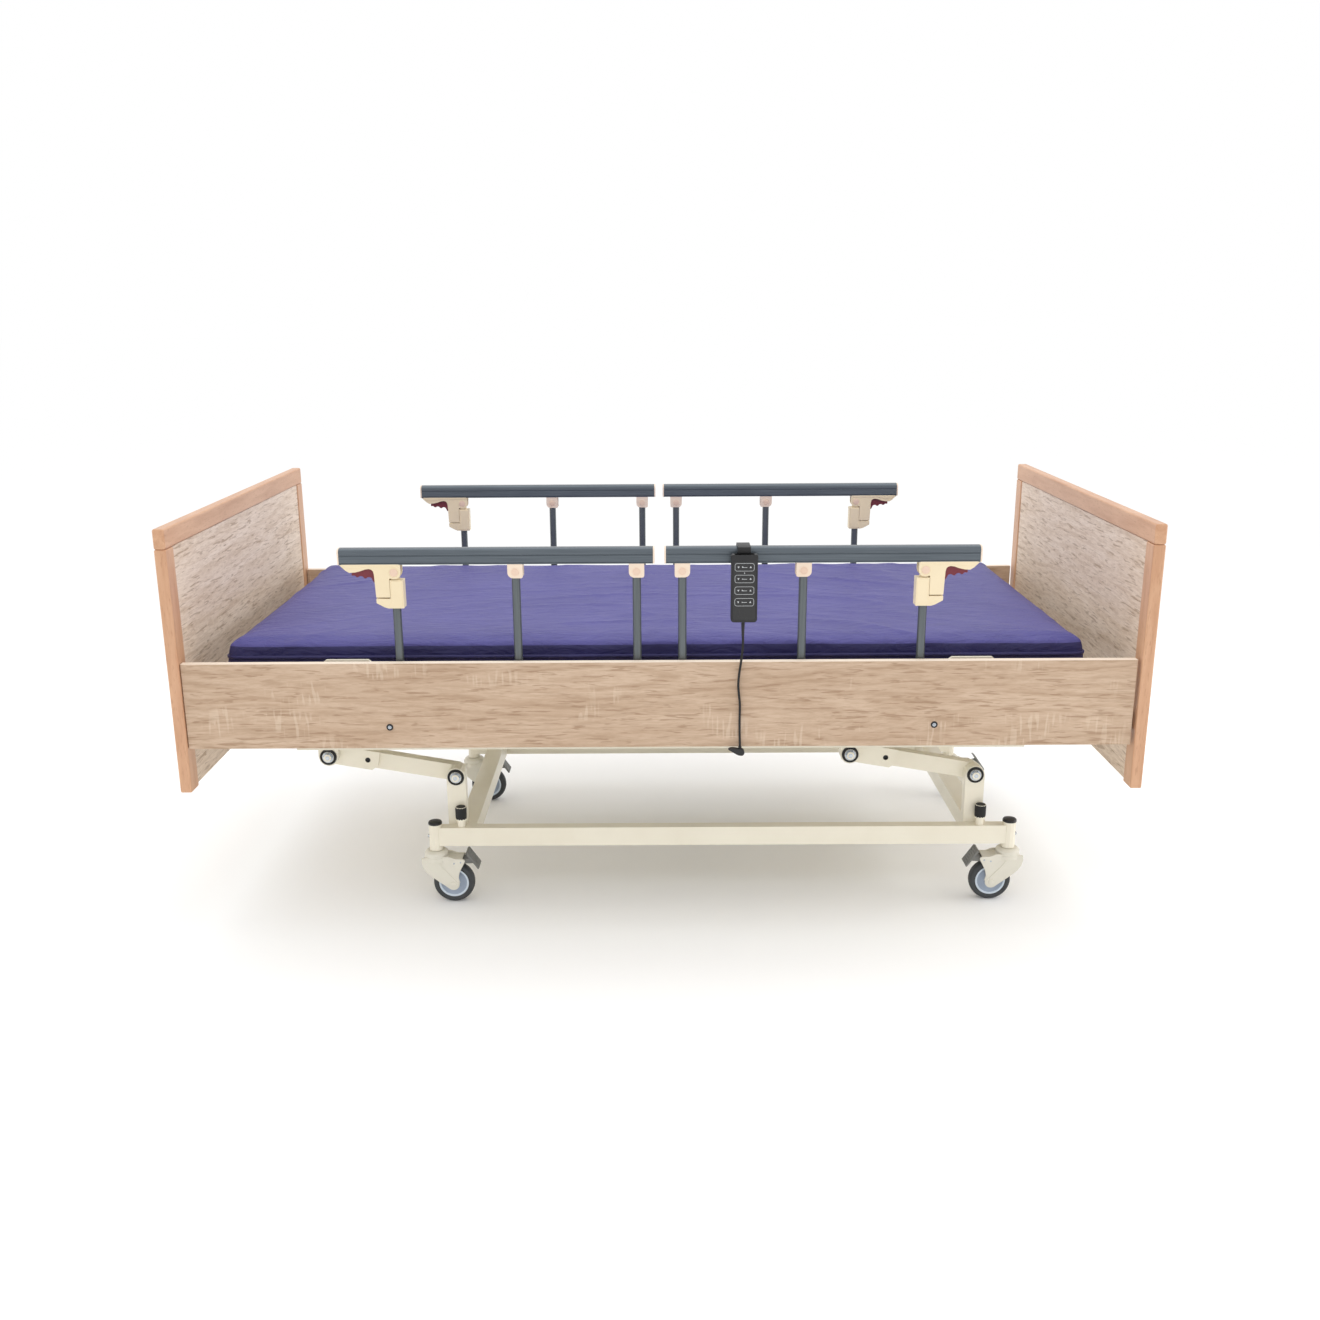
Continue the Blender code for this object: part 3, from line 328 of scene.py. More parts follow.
# %% [markdown]
# ## Making meshes
# Each shape helper returns plain corners and faces, and `piece` joins any number of them into one
# object, gives it a finish and soft edges, and hands it to the body that carries it.

# %% Mesh helpers
def place_at(axis, first, second, along):
    if axis == "X":
        return (along, first, second)
    if axis == "Y":
        return (first, along, second)
    return (first, second, along)


def slab(outline, axis, start, stop):
    """An outline in the plane across the axis, carried along it from start to stop."""
    count = len(outline)
    corners = [place_at(axis, a, b, start) for a, b in outline]
    corners += [place_at(axis, a, b, stop) for a, b in outline]
    faces = [tuple(range(count)), tuple(range(count, 2 * count))]
    for here in range(count):
        after = (here + 1) % count
        faces.append((here, after, after + count, here + count))
    return corners, faces


def centred(outline, y, half):
    """An outline in (x, z), carried to the same distance on both sides of y."""
    return slab(outline, "Y", y - half, y + half)


def both_sides(outline, y, inside, outside):
    """Two plates of one outline in (x, z), one on each side of y."""
    return [slab(outline, "Y", y + face * inside, y + face * outside) for face in (-1, 1)]


def arc(centre, radius, start, stop, steps=10):
    points = []
    for step in range(steps + 1):
        angle = math.radians(start + (stop - start) * step / steps)
        points.append((centre[0] + radius * math.cos(angle), centre[1] + radius * math.sin(angle)))
    return points


def circle(centre, radius, sides=40):
    return arc(centre, radius, 0, 360 - 360 / sides, sides - 1)


def brick(x, y, z):
    (x0, x1), (y0, y1), (z0, z1) = sorted(x), sorted(y), sorted(z)
    return slab(((x0, y0), (x1, y0), (x1, y1), (x0, y1)), "Z", z0, z1)


def rounded(x, z, radius, steps=6):
    """A rectangle with rounded corners, drawn from its top right corner round by the left."""
    (x0, x1), (z0, z1) = sorted(x), sorted(z)
    corners = ((x1, z1, -1, -1), (x0, z1, 1, -1), (x0, z0, 1, 1), (x1, z0, -1, 1))
    points = []
    for index, (cx, cz, sx, sz) in enumerate(corners):
        centre = (cx + sx * radius, cz + sz * radius)
        points += arc(centre, radius, 90 * index, 90 * index + 90, steps)
    return points


def turned(profile, axis, centre, steps=40):
    """A profile of (radius, offset) turned about an axis; a zero radius at either end closes it."""
    corners, faces = [], []
    for step in range(steps):
        angle = 2 * math.pi * step / steps
        for radius, offset in profile:
            first, second = radius * math.cos(angle), radius * math.sin(angle)
            point = place_at(axis, first, second, offset)
            corners.append(tuple(a + b for a, b in zip(point, centre)))
    rows = len(profile)
    for step in range(steps):
        here, after = step * rows, (step + 1) % steps * rows
        for row in range(rows - 1):
            faces.append((here + row, here + row + 1, after + row + 1, after + row))
    return corners, faces


def curve_point(before, start, stop, after, t):
    """A point on the Catmull-Rom curve that runs from start, at t = 0, to stop, at t = 1."""
    return 0.5 * (2 * start + (stop - before) * t
                  + (2 * before - 5 * start + 4 * stop - after) * t ** 2
                  + (3 * start - before - 3 * stop + after) * t ** 3)


def smooth_line(points, steps=6, closed=True):
    """A smooth curve through the given points of a plane outline."""
    knots = [Vector((*point, 0)) for point in points]
    count = len(knots)
    fine = []
    for here in range(count if closed else count - 1):
        around = (knots[here - 1], knots[here], knots[(here + 1) % count], knots[(here + 2) % count])
        for step in range(steps):
            point = curve_point(*around, step / steps)
            fine.append((point.x, point.y))
    return fine


MERGE_WITHIN = 0.000002
BEVEL_ABOVE = math.radians(32)


def baked(shape, name):
    """The mesh of an edited shape, which is then freed."""
    mesh = bpy.data.meshes.new(name)
    shape.to_mesh(mesh)
    shape.free()
    return mesh


def mesh_of(name, shapes, material, join=True):
    """One mesh from several shapes, smooth shaded, with its faces turned outward."""
    shape = bmesh.new()
    for corners, faces in shapes:
        points = [shape.verts.new(corner) for corner in corners]
        for face in faces:
            shape.faces.new([points[index] for index in face])
    if join:
        bmesh.ops.remove_doubles(shape, verts=shape.verts, dist=MERGE_WITHIN)
        bmesh.ops.dissolve_degenerate(shape, edges=shape.edges, dist=MERGE_WITHIN / 2)
    bmesh.ops.recalc_face_normals(shape, faces=shape.faces)
    mesh = baked(shape, name)
    mesh.materials.append(material)
    mesh.shade_smooth()
    return mesh


def piece(name, body, shapes, finish, edge=0.0, replaces=(), segments=2, smooth=30):
    """One object from several shapes, with its finish, rounded edges and body; it hides the CAD parts it
    replaces.
    """
    mesh = mesh_of(name, shapes, finish)
    mesh.set_sharp_from_angle(angle=math.radians(smooth))
    made = add_object(name, mesh)
    if edge:
        soften(made, edge, segments)
    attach(made, body)
    if replaces:
        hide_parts(*replaces)
    return made


def soften(thing, width, segments=2):
    """Real edges are never knife sharp: a narrow bevel gives each one a line of light."""
    bevel = thing.modifiers.new("soft edges", "BEVEL")
    bevel.width = width
    bevel.segments = segments
    bevel.limit_method = "ANGLE"
    bevel.angle_limit = BEVEL_ABOVE
    bevel.harden_normals = True
    bevel.use_clamp_overlap = True


print("helpers ready")

# %% [markdown]
# ## The cord
# A thin flexible cable leaves the hand control's strain relief, hangs in front of the side panel and
# ends in a plug. It is a curve with a round bevel, through points chosen along its route.

# %% Cord and plug
CORD_DIAMETER = 0.005
CORD_ROUTE = (
    (0.1777, -0.5565, 0.7142), (0.1783, -0.5565, 0.7000), (0.1772, -0.5560, 0.6800),
    (0.1745, -0.5550, 0.6550), (0.1712, -0.5535, 0.6300), (0.1695, -0.5520, 0.6040),
    (0.1712, -0.5512, 0.5820), (0.1735, -0.5510, 0.5580), (0.1733, -0.5510, 0.5220),
    (0.1738, -0.5510, 0.4900), (0.1748, -0.5510, 0.4630),
)


def cord_points(route, steps=6):
    """A smooth curve through the route's points, from the first to the last."""
    knots = [Vector(point) for point in route]
    knots = [2 * knots[0] - knots[1]] + knots + [2 * knots[-1] - knots[-2]]
    fine = []
    for here in range(1, len(knots) - 2):
        around = knots[here - 1:here + 3]
        fine += [curve_point(*around, step / steps) for step in range(steps)]
    return fine + [knots[-2]]


line = cord_points(CORD_ROUTE)
cord_length = sum((line[i + 1] - line[i]).length for i in range(len(line) - 1))
cord_curve = bpy.data.curves.new("hand control cord", "CURVE")
cord_curve.dimensions = "3D"
cord_curve.bevel_depth = CORD_DIAMETER / 2
cord_curve.bevel_resolution = 4
cord_curve.use_fill_caps = True
spline = cord_curve.splines.new("POLY")
spline.points.add(len(line) - 1)
for point, where in zip(spline.points, line):
    point.co = (*where, 1.0)
cord_curve.materials.append(RUBBER)
cord = add_object("hand_control_cord", cord_curve)
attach(cord, "rail_foot_near")
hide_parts("handset_cord")

PLUG_Y, PLUG_HALF = -0.5510, 0.0054
COLLAR_FOOT, COLLAR_RINGS = 0.4522, 4
plug_low, plug_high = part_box("cord_plug")
plug_outline = smooth_line([
    (plug_low[0] + 0.0005, 0.4572), (plug_low[0] + 0.010, 0.4508), (plug_high[0] - 0.014, 0.4437),
    (plug_high[0] - 0.004, 0.4432), (plug_high[0] - 0.0006, 0.4500), (plug_high[0] - 0.004, 0.4567),
    (plug_high[0] - 0.014, 0.4582), (plug_low[0] + 0.010, 0.4600)])
collar = [(0.0, 0.0), (0.0040, 0.0)]
for ring in range(COLLAR_RINGS):
    low = 0.0010 + ring * 0.0022
    collar += [(0.0040, low), (0.0033, low + 0.0003), (0.0033, low + 0.0009), (0.0040, low + 0.0012)]
collar += [(0.0036, 0.0104), (0.0, 0.0104)]
plug_shapes = [centred(plug_outline, PLUG_Y, PLUG_HALF)]
plug_shapes.append(turned(collar, "Z", (CORD_ROUTE[-1][0], PLUG_Y, COLLAR_FOOT)))
plug = piece("cord_plug_moulded", "rail_foot_near", plug_shapes, BLACK, 0.0012,
             ["cord_plug"])
print("cord length", round(cord_length, 4), "m")

# %% [markdown]
# ## The hand control
# A flat black box with a flange at its top, four framed key rows and a small lamp. It hangs on the
# side rail by a strap. The frames and arrows are printed ink, so each is a thin ring or plate that
# stands 0.15 mm off the keypad. The words of the real keypad are left out.

# %% Hand control
HAND_X = (0.151, 0.207)
HAND_Z = (0.7455, 0.891)
HAND_FRONT = -0.5675
HAND_BACK = -0.5455
RELIEF_RINGS, RELIEF_LONG = 6, 0.0310
hand_middle = sum(HAND_X) / 2


def hand_plate(inset, low, high, radius, front, back, steps=6):
    """A rounded plate between two heights, narrower than the case by the inset at each side."""
    across = (HAND_X[0] + inset, HAND_X[1] - inset)
    return slab(rounded(across, (low, high), radius, steps), "Y", front, back)


shell = [
    hand_plate(0.0, *HAND_Z, 0.007, HAND_FRONT + 0.003, HAND_BACK, 8),
    hand_plate(0.001, HAND_Z[0] + 0.001, HAND_Z[1] - 0.001, 0.006,
               HAND_FRONT + 0.0012, HAND_FRONT + 0.004, 8),
    hand_plate(-0.0006, HAND_Z[1] - 0.012, HAND_Z[1], 0.004, HAND_FRONT + 0.0020, HAND_BACK - 0.002),
]
relief = [(0.0, 0.0), (0.0030, 0.0)]
for ring in range(RELIEF_RINGS):
    low = 0.0015 + ring * 0.0045
    wide = 0.0031 + 0.00016 * ring
    relief += [(wide, low), (wide + 0.0003, low + 0.0026), (wide - 0.0006, low + 0.0029),
               (wide - 0.0006, low + 0.0041)]
relief += [(0.0042, 0.0300), (0.0042, 0.0330), (0.0, 0.0330)]
shell.append(turned(relief, "Z", (*CORD_ROUTE[0][:2], HAND_Z[0] - RELIEF_LONG)))
STRAP_X = (0.165, 0.193)
STRAP_FRONT_END, STRAP_BACK_END = 0.8800, 0.874
RIB_COUNT, RIB_PITCH = 9, 0.003
rail_out, rail_in = -0.527, -0.497
rail_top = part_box("side_rail_foot_near")[1][2]
strap_top, strap_under = rail_top + 0.0043, rail_top + 0.0010
strap = [
    (HAND_BACK - 0.0040, STRAP_FRONT_END), (HAND_BACK - 0.0040, rail_top + 0.0030),
    (HAND_BACK - 0.0015, strap_top), (rail_in + 0.0025, strap_top),
    (rail_in + 0.0043, rail_top + 0.0020), (rail_in + 0.0043, STRAP_BACK_END),
    (rail_in + 0.0010, STRAP_BACK_END), (rail_in + 0.0010, rail_top - 0.0010),
    (rail_in - 0.0010, strap_under), (HAND_BACK - 0.0002, strap_under),
    (HAND_BACK - 0.0002, STRAP_FRONT_END),
]
shell.append(slab(strap, "X", *STRAP_X))
for rib in range(RIB_COUNT):
    rib_x = STRAP_X[0] + 0.002 + rib * RIB_PITCH
    shell.append(brick((rib_x - 0.0007, rib_x + 0.0007), (rail_out + 0.001, rail_in - 0.001),
                       (rail_top + 0.003, rail_top + 0.0041)))
piece("hand_control_shell", "rail_foot_near", shell, BLACK, 0.0010, ["handset"])
keypad = hand_plate(0.0045, HAND_Z[0] + 0.006, HAND_Z[1] - 0.014, 0.004,
                    HAND_FRONT + 0.0006, HAND_FRONT + 0.0020)
piece("hand_control_keypad", "rail_foot_near", [keypad], BLACK_GLOSS, 0.0003)

INK_BACK, INK_FRONT = HAND_FRONT + 0.0008, HAND_FRONT + 0.00045
ROW_TOP, ROW_PITCH, ROW_COUNT = 0.8650, 0.0250, 4
KEY_HALF, KEY_ROUND = (0.0205, 0.0085), 0.005
INK_LINE = 0.0007


def ring_slab(outer, inner, axis, start, stop):
    """A flat frame between two outlines with the same number of points."""
    count = len(outer)
    corners = [place_at(axis, a, b, level) for level in (start, stop) for a, b in outer + inner]
    faces = []
    for here in range(count):
        after = (here + 1) % count
        for low, high in ((0, count), (3 * count, 2 * count)):
            faces.append((low + here, low + after, high + after, high + here))
        faces.append((here, after, 2 * count + after, 2 * count + here))
        faces.append((count + here, count + after, 3 * count + after, 3 * count + here))
    return corners, faces


ink = []
for row in range(ROW_COUNT):
    middle = ROW_TOP - row * ROW_PITCH
    frames = []
    for shrink in (0.0, INK_LINE):
        frames.append(rounded((hand_middle - KEY_HALF[0] + shrink, hand_middle + KEY_HALF[0] - shrink),
                              (middle - KEY_HALF[1] + shrink, middle + KEY_HALF[1] - shrink),
                              KEY_ROUND - shrink, 5))
    ink.append(ring_slab(*frames, "Y", INK_FRONT, INK_BACK))
    for way in (-1, 1):
        tip = (hand_middle + way * 0.0128, middle + way * 0.0024)
        arrow = (tip, (tip[0] - 0.0022, middle - way * 0.0016), (tip[0] + 0.0022, middle - way * 0.0016))
        ink.append(slab(arrow, "Y", INK_FRONT, INK_BACK))
    bed_line = 0.0016 * (row % 2)
    ink.append(slab(((hand_middle - 0.0055, middle - 0.0010), (hand_middle + 0.0055, middle - 0.0010),
                     (hand_middle + 0.0055, middle - 0.0001), (hand_middle - 0.0020, middle - 0.0001),
                     (hand_middle - 0.0052, middle + 0.0024 - bed_line)), "Y", INK_FRONT, INK_BACK))
ink.append(slab(circle((hand_middle, ROW_TOP - 0.0125), 0.0011, 16), "Y", INK_FRONT, INK_BACK))
piece("hand_control_ink", "rail_foot_near", ink, INK)
print("hand control made of", len(shell) + len(ink) + 1, "shapes")

# %% [markdown]
# ## Boards and side panels
# Each end board is a beech frame round an oak panel. On the real one the uprights and the top rail
# are separate sticks, so they are modelled as three bars whose soft edges meet in a fine joint line.
# The oak side panels are flat boards with cleanly cut edges.

# %% End boards
board_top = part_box("foot_board_frame")[1][2]
STILE, TOP_RAIL = 0.048, 0.044
for name, node in (("head", "head_board_frame"), ("foot", "foot_board_frame")):
    low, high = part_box(node)
    thick = (low[0], high[0])
    bars = []
    for way in (-1, 1):
        bars.append(brick(thick, (way * (high[1] - STILE), way * high[1]), (low[2], board_top - TOP_RAIL)))
    piece(f"{name}_board_uprights", "bed", bars, BEECH_STILE, 0.0035, [node], segments=4)
    top_rail = brick(thick, (low[1], high[1]), (board_top - TOP_RAIL, board_top))
    piece(f"{name}_board_top_rail", "bed", [top_rail], BEECH_RAIL, 0.0045, segments=4)
    print(name, "board", round(high[1] - low[1], 3), "m wide")


def dress(node, material, width):
    """A CAD node keeps its mesh and gets a finish and soft edges."""
    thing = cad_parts[node]
    thing.data.materials.clear()
    thing.data.materials.append(material)
    weld = thing.modifiers.new("join corners", "WELD")
    weld.merge_threshold = 0.00002
    soften(thing, width)


# The end panels take the oak that is painted lighter, a painted light.
for node in ("head_board_panel", "foot_board_panel"):
    dress(node, OAK_END_PAINTED_LIGHTER, 0.0008)
for node in ("side_panel_near", "side_panel_far"):
    dress(node, OAK_SIDE, 0.0010)

# %% Bolts of the side panels
PANEL_BOLT_X = (-0.593, 0.600)
PANEL_BOLT_Z = 0.509
SIDES = (("near", -1), ("far", 1))
panel_face = abs(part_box("side_panel_near")[0][1])
CUP = [(0.0, 0.0002), (0.0050, 0.0002), (0.0052, 0.0012), (0.0062, 0.0018), (0.0073, 0.0012), (0.0077, 0.0)]
SCREW = [(0.0, 0.0018), (0.0017, 0.0018), (0.0019, 0.0008), (0.0021, 0.0018), (0.0040, 0.0014),
         (0.0046, 0.0003)]


def stud(profile, way, centre, steps=32):
    """A turned piece across the bed, whose offsets point outward on the near (-1) or far (1) side."""
    return turned([(radius, way * offset) for radius, offset in profile], "Y", centre, steps)


for side, way in SIDES:
    centres = [(x, way * panel_face, PANEL_BOLT_Z) for x in PANEL_BOLT_X]
    cups = [stud(CUP, way, centre) for centre in centres]
    screws = [stud(SCREW, way, centre, 24) for centre in centres]
    piece(f"panel_bolt_cups_{side}", "bed", cups, BLACK)
    piece(f"panel_bolt_screws_{side}", "bed", screws, STEEL)
print("panel bolts set", len(PANEL_BOLT_X) * 2)

# %% [markdown]
# ## Painted frame
# The base, the lift arms, the bed frame and the deck keep their CAD meshes. A weld joins the corners
# that the import split, and a bevel then rounds every edge as drawn steel tube is rounded.

# %% Frame finishes
FRAME_NODES = {"base_frame": 0.0022, "bed_frame": 0.0018, "lift_arms_head": 0.0016, "lift_arms_foot": 0.0016}
for node, width in FRAME_NODES.items():
    dress(node, CREAM_PAINT, width)
for part in ("back", "seat", "thigh", "calf"):
    dress(f"deck_{part}", CREAM_PAINT, 0.0014)
for name in ("back", "leg", "lift"):
    dress(f"{name}_actuator", DRIVE_GREY, 0.0025)
    dress(f"{name}_actuator_rod", BRIGHT_ROD, 0.0006)
dress("control_box", DRIVE_GREY, 0.0020)
print("frame dressed")

# %% [markdown]
# ## Pivots, buffers and caps
# Each lift arm turns on a bolt: a black bush, a plated washer and a domed hexagon head. They are
# turned profiles, and the head is a six-sided slab with a turned dome on it.

# %% Pivot hardware
LOWER_PIVOT = {"head": (-0.4902, 0.312), "foot": (0.7532, 0.312)}
UPPER_PIVOT = {"head": (-0.7915, 0.365), "foot": (0.4519, 0.365)}
PIVOT_FACE = 0.3230
BUSH = [(0.0120, 0.0), (0.0196, 0.0), (0.0198, 0.0050), (0.0188, 0.0070), (0.0160, 0.0075),
        (0.0140, 0.0069), (0.0134, 0.0050), (0.0120, 0.0050)]
WASHER = [(0.0, 0.0056), (0.0092, 0.0056), (0.0097, 0.0070), (0.0128, 0.0074), (0.0133, 0.0066),
          (0.0133, 0.0052)]
DOME = [(0.0, 0.0142), (0.0040, 0.0139), (0.0070, 0.0130), (0.0088, 0.0112)]
HEXAGON_R, HEXAGON_REACH = 0.0104, (0.0070, 0.0116)


def pivot_hardware(name, body, pivots):
    for side, way in SIDES:
        bushes, bright = [], []
        for x, z in pivots:
            centre = (x, way * PIVOT_FACE, z)
            bushes.append(stud(BUSH + BUSH[:1], way, centre, 48))
            bright.append(stud(WASHER, way, centre, 48))
            reach = [way * (PIVOT_FACE + depth) for depth in HEXAGON_REACH]
            bright.append(slab(circle((x, z), HEXAGON_R, 6), "Y", *reach))
            bright.append(stud(DOME, way, centre))
        piece(f"{name}_bushes_{side}", body, bushes, RUBBER)
        piece(f"{name}_bolts_{side}", body, bright, STEEL)


pivot_hardware("lower_pivot", "base", LOWER_PIVOT.values())
pivot_hardware("upper_pivot", "bed", UPPER_PIVOT.values())

HOLE_ALONG, ARM_FACE = 0.090, 0.3013
HOLE_LINER = [(0.0, 0.0), (0.0036, 0.0), (0.0046, 0.0036), (0.0060, 0.0044), (0.0063, 0.0040)]
for end in ("head", "foot"):
    start, stop = Vector(UPPER_PIVOT[end]), Vector(LOWER_PIVOT[end])
    hole = start + (stop - start).normalized() * HOLE_ALONG
    liners = [stud(HOLE_LINER, way, (hole.x, way * ARM_FACE, hole.y), 24) for way in (-1, 1)]
    piece(f"arm_hole_liners_{end}", f"{end}_arms", liners, BLACK)

# %% Buffers, stem caps and the screws of the stems
BUFFER_X = {"head": -0.4798, "foot": 0.7672}
STEM_X = {"head": -0.543, "foot": 0.8386}
STEM_Y, BUFFER_Y = 0.341, 0.339
STEM_R, STEM_SCREW_Z = 0.0158, 0.168
BUFFER = [(0.0, 0.2430), (0.0105, 0.2428), (0.0128, 0.2412), (0.0136, 0.2380), (0.0134, 0.2160),
          (0.0128, 0.2120), (0.0120, 0.2095), (0.0, 0.2090)]
STEM_CAP = [(0.0, 0.2072), (0.0120, 0.2070), (0.0150, 0.2060), (0.0166, 0.2035), (0.0166, 0.1995),
            (0.0158, 0.1990)]
STEM_SCREW = [(0.0, 0.0030), (0.0030, 0.0028), (0.0044, 0.0012), (0.0048, -0.0010)]
buffers, caps, screws = [], [], []
for end, outward in (("head", -1), ("foot", 1)):
    head = [(radius, outward * offset) for radius, offset in STEM_SCREW]
    for way in (-1, 1):
        buffers.append(turned(BUFFER, "Z", (BUFFER_X[end], way * BUFFER_Y, 0.0), 36))
        caps.append(turned(STEM_CAP, "Z", (STEM_X[end], way * STEM_Y, 0.0), 36))
        centre = (STEM_X[end] + outward * STEM_R, way * STEM_Y, STEM_SCREW_Z)
        screws.append(turned(head, "X", centre, 20))
piece("buffers", "base", buffers, RUBBER)
piece("stem_caps", "base", caps, BLACK)
piece("stem_screws", "base", screws, STEEL)
print("pivots, buffers and caps made")

# %% [markdown]
# ## Castors
# A moulded shell swivels on the stem and carries the wheel behind it. The shell is two cheeks under a
# collar, with a raised blade that runs down to the axle. The wheel is a soft tyre round a dished hub
# with a bright ring, and a ribbed pedal stands behind the shell.

# %% Castor shapes
TRAIL, WHEEL_Z, WHEEL_R = 0.040, 0.050, 0.050
TRAILS = {("head", "near"): 1, ("head", "far"): 1, ("foot", "near"): -1, ("foot", "far"): 1}
CORNERS = tuple(TRAILS)
SHELL_HALF, INNER_HALF = 0.022, 0.0195
TYRE_SECTION = [(0.0362, -0.0120), (0.0400, -0.0134), (0.0440, -0.0132), (0.0475, -0.0112), (0.0493, -0.0075),
                (0.0500, -0.0030), (0.0500, 0.0030), (0.0493, 0.0075), (0.0475, 0.0112), (0.0440, 0.0132),
                (0.0400, 0.0134), (0.0362, 0.0120), (0.0362, -0.0120)]
HUB_SECTION = [(0.0056, 0.0138), (0.0100, 0.0138), (0.0122, 0.0126), (0.0140, 0.0102), (0.0200, 0.0086),
               (0.0262, 0.0086), (0.0290, 0.0098), (0.0320, 0.0102), (0.0366, 0.0112), (0.0366, 0.0)]
RING_SECTION = [(0.0310, 0.0096), (0.0320, 0.0119), (0.0344, 0.0126), (0.0361, 0.0118), (0.0366, 0.0100)]
SWIVEL_COLLAR = [(0.0, 0.1080), (0.0290, 0.1080), (0.0292, 0.1160), (0.0284, 0.1180), (0.0272, 0.1190),
                 (0.0272, 0.1222), (0.0280, 0.1232), (0.0280, 0.1282), (0.0262, 0.1304), (0.0220, 0.1334),
                 (0.0, 0.1336)]
NUT = [(0.0, 0.0263), (0.0040, 0.0261), (0.0068, 0.0250), (0.0082, 0.0228), (0.0084, 0.0200)]
AXLE_PIN = [(0.0, -INNER_HALF), (0.0050, -INNER_HALF), (0.0050, INNER_HALF), (0.0, INNER_HALF)]
RIVET = [(0.0, 0.0232), (0.0012, 0.0231), (0.0021, 0.0226), (0.0024, 0.0216)]
RIVET_PLACES = ((0.0440, 0.1040), (0.0600, 0.1068))
BORE = [(0.0056, -0.0138), (0.0056, 0.0138)]
PEDAL_TOP, PEDAL_TOE, PEDAL_THICK = (0.0745, 0.131), (0.103, 0.090), 0.0022
PEDAL_PLATE = ((0.0, -1.0), (0.98, -1.0), (1.0, 0.0), (0.98, 1.0), (0.04, 1.0))
PEDAL_RIBS = 7


def on_pedal(share, lift):
    """A point of the brake pedal: a share of the way to its toe, lifted off its middle."""
    run = Vector((PEDAL_TOE[0] - PEDAL_TOP[0], PEDAL_TOE[1] - PEDAL_TOP[1]))
    thick = Vector((-run.y, run.x)).normalized() * PEDAL_THICK
    point = Vector(PEDAL_TOP) + run * share + thick * lift
    return (point.x, point.y)


def castor(end, side):
    way = TRAILS[end, side]
    x, y = STEM_X[end], STEM_Y * (-1 if side == "near" else 1)
    tag = f"{end}_{side}"
    centre = (x + way * TRAIL, y, WHEEL_Z)

    def across(points):
        """Points given from the stem toward the wheel, and up from the floor."""
        return [(x + way * u, z) for u, z in points]

    def on_both_faces(section):
        """A turned section and its mirror image on the wheel's other face."""
        return [stud(section, face, centre, 64) for face in (1, -1)]

    cheek = across([(-0.0330, 0.1180), (-0.0335, 0.1060), (-0.0300, 0.0920), (-0.0215, 0.0800),
                    (-0.0060, 0.0660)]
                   + arc((TRAIL, WHEEL_Z), 0.0150, 225, 345, 10)
                   + smooth_line([(0.0550, 0.0560), (0.0535, 0.0660), (0.0575, 0.0830), (0.0690, 0.1060),
                                  (0.0695, 0.1120), (0.0640, 0.1150), (0.0480, 0.1155),
                                  (0.0260, 0.1180)], 4, False))
    blade = across([(-0.0310, 0.1150), (-0.0310, 0.1060), (-0.0275, 0.0935), (-0.0195, 0.0825),
                    (-0.0040, 0.0685)]
                   + arc((TRAIL, WHEEL_Z), 0.0115, 225, 395, 12)
                   + [(0.0150, 0.0940), (0.0080, 0.1060), (0.0060, 0.1150)])
    hood = across([(-0.0325, 0.1060), (-0.0310, 0.1120), (0.0260, 0.1172), (0.0480, 0.1148),
                   (0.0640, 0.1142), (0.0600, 0.1085), (0.0300, 0.1075)])
    shapes = both_sides(cheek, y, 0.0182, SHELL_HALF) + both_sides(blade, y, 0.0205, SHELL_HALF + 0.0013)
    shapes.append(centred(hood, y, INNER_HALF))
    shapes.append(turned(SWIVEL_COLLAR, "Z", (x, y, 0.0), 48))
    shapes += [stud(NUT, face, centre) for face in (-1, 1)]
    shapes.append(turned(AXLE_PIN, "Y", centre, 20))
    piece(f"castor_shell_{tag}", f"castor_{tag}", shapes, CASTOR_SHELL, 0.0009,
          [f"castor_fork_{tag}"])
    rivets = [stud(RIVET, face, (x + way * u, y, z), 16) for u, z in RIVET_PLACES for face in (-1, 1)]
    piece(f"castor_rivets_{tag}", f"castor_{tag}", rivets, STEEL)

    piece(f"tyre_{tag}", f"wheel_{tag}", [turned(TYRE_SECTION, "Y", centre, 64)], TYRE,
          replaces=[f"castor_wheel_{tag}"], smooth=50)
    hub = on_both_faces(HUB_SECTION) + [turned(BORE, "Y", centre, 64)]
    piece(f"hub_{tag}", f"wheel_{tag}", hub, HUB, smooth=40)
    piece(f"hub_ring_{tag}", f"wheel_{tag}", on_both_faces(RING_SECTION), HUB_RING, smooth=50)

    ribs = [centred(across([on_pedal(*place) for place in PEDAL_PLATE]), y, SHELL_HALF)]
    for rib in range(PEDAL_RIBS):
        share = 0.10 + rib * 0.13
        rib_places = ((share, 0.8), (share + 0.06, 0.8), (share + 0.05, 1.5), (share + 0.01, 1.5))
        ribs.append(centred(across([on_pedal(*place) for place in rib_places]), y, INNER_HALF))
    lever = across([(0.0600, 0.1040), (0.0660, 0.1010), (0.0930, 0.1030), (0.0860, 0.1170), (0.0620, 0.1100)])
    ribs.append(centred(lever, y, 0.0160))
    piece(f"brake_pedal_{tag}", f"pedal_{tag}", ribs, PEDAL_GREY, 0.0007,
          [f"castor_pedal_{tag}"])


for corner in CORNERS:
    castor(*corner)
print("castors made, wheels", 2 * WHEEL_R, "m across")

# %% [markdown]
# ## Side rails
# A drawn aluminium handrail with a rounded top and two fine grooves along each side, pale caps on its
# ends, and three posts. Two posts swing in moulded brackets; the third ends in a latch whose maroon
# trigger frees the rail. Each rail is built once in its own outward and upward directions, then
# mirrored to its corner. The fittings stay within the handrail's width, so that a folded rail clears
# the side panel.

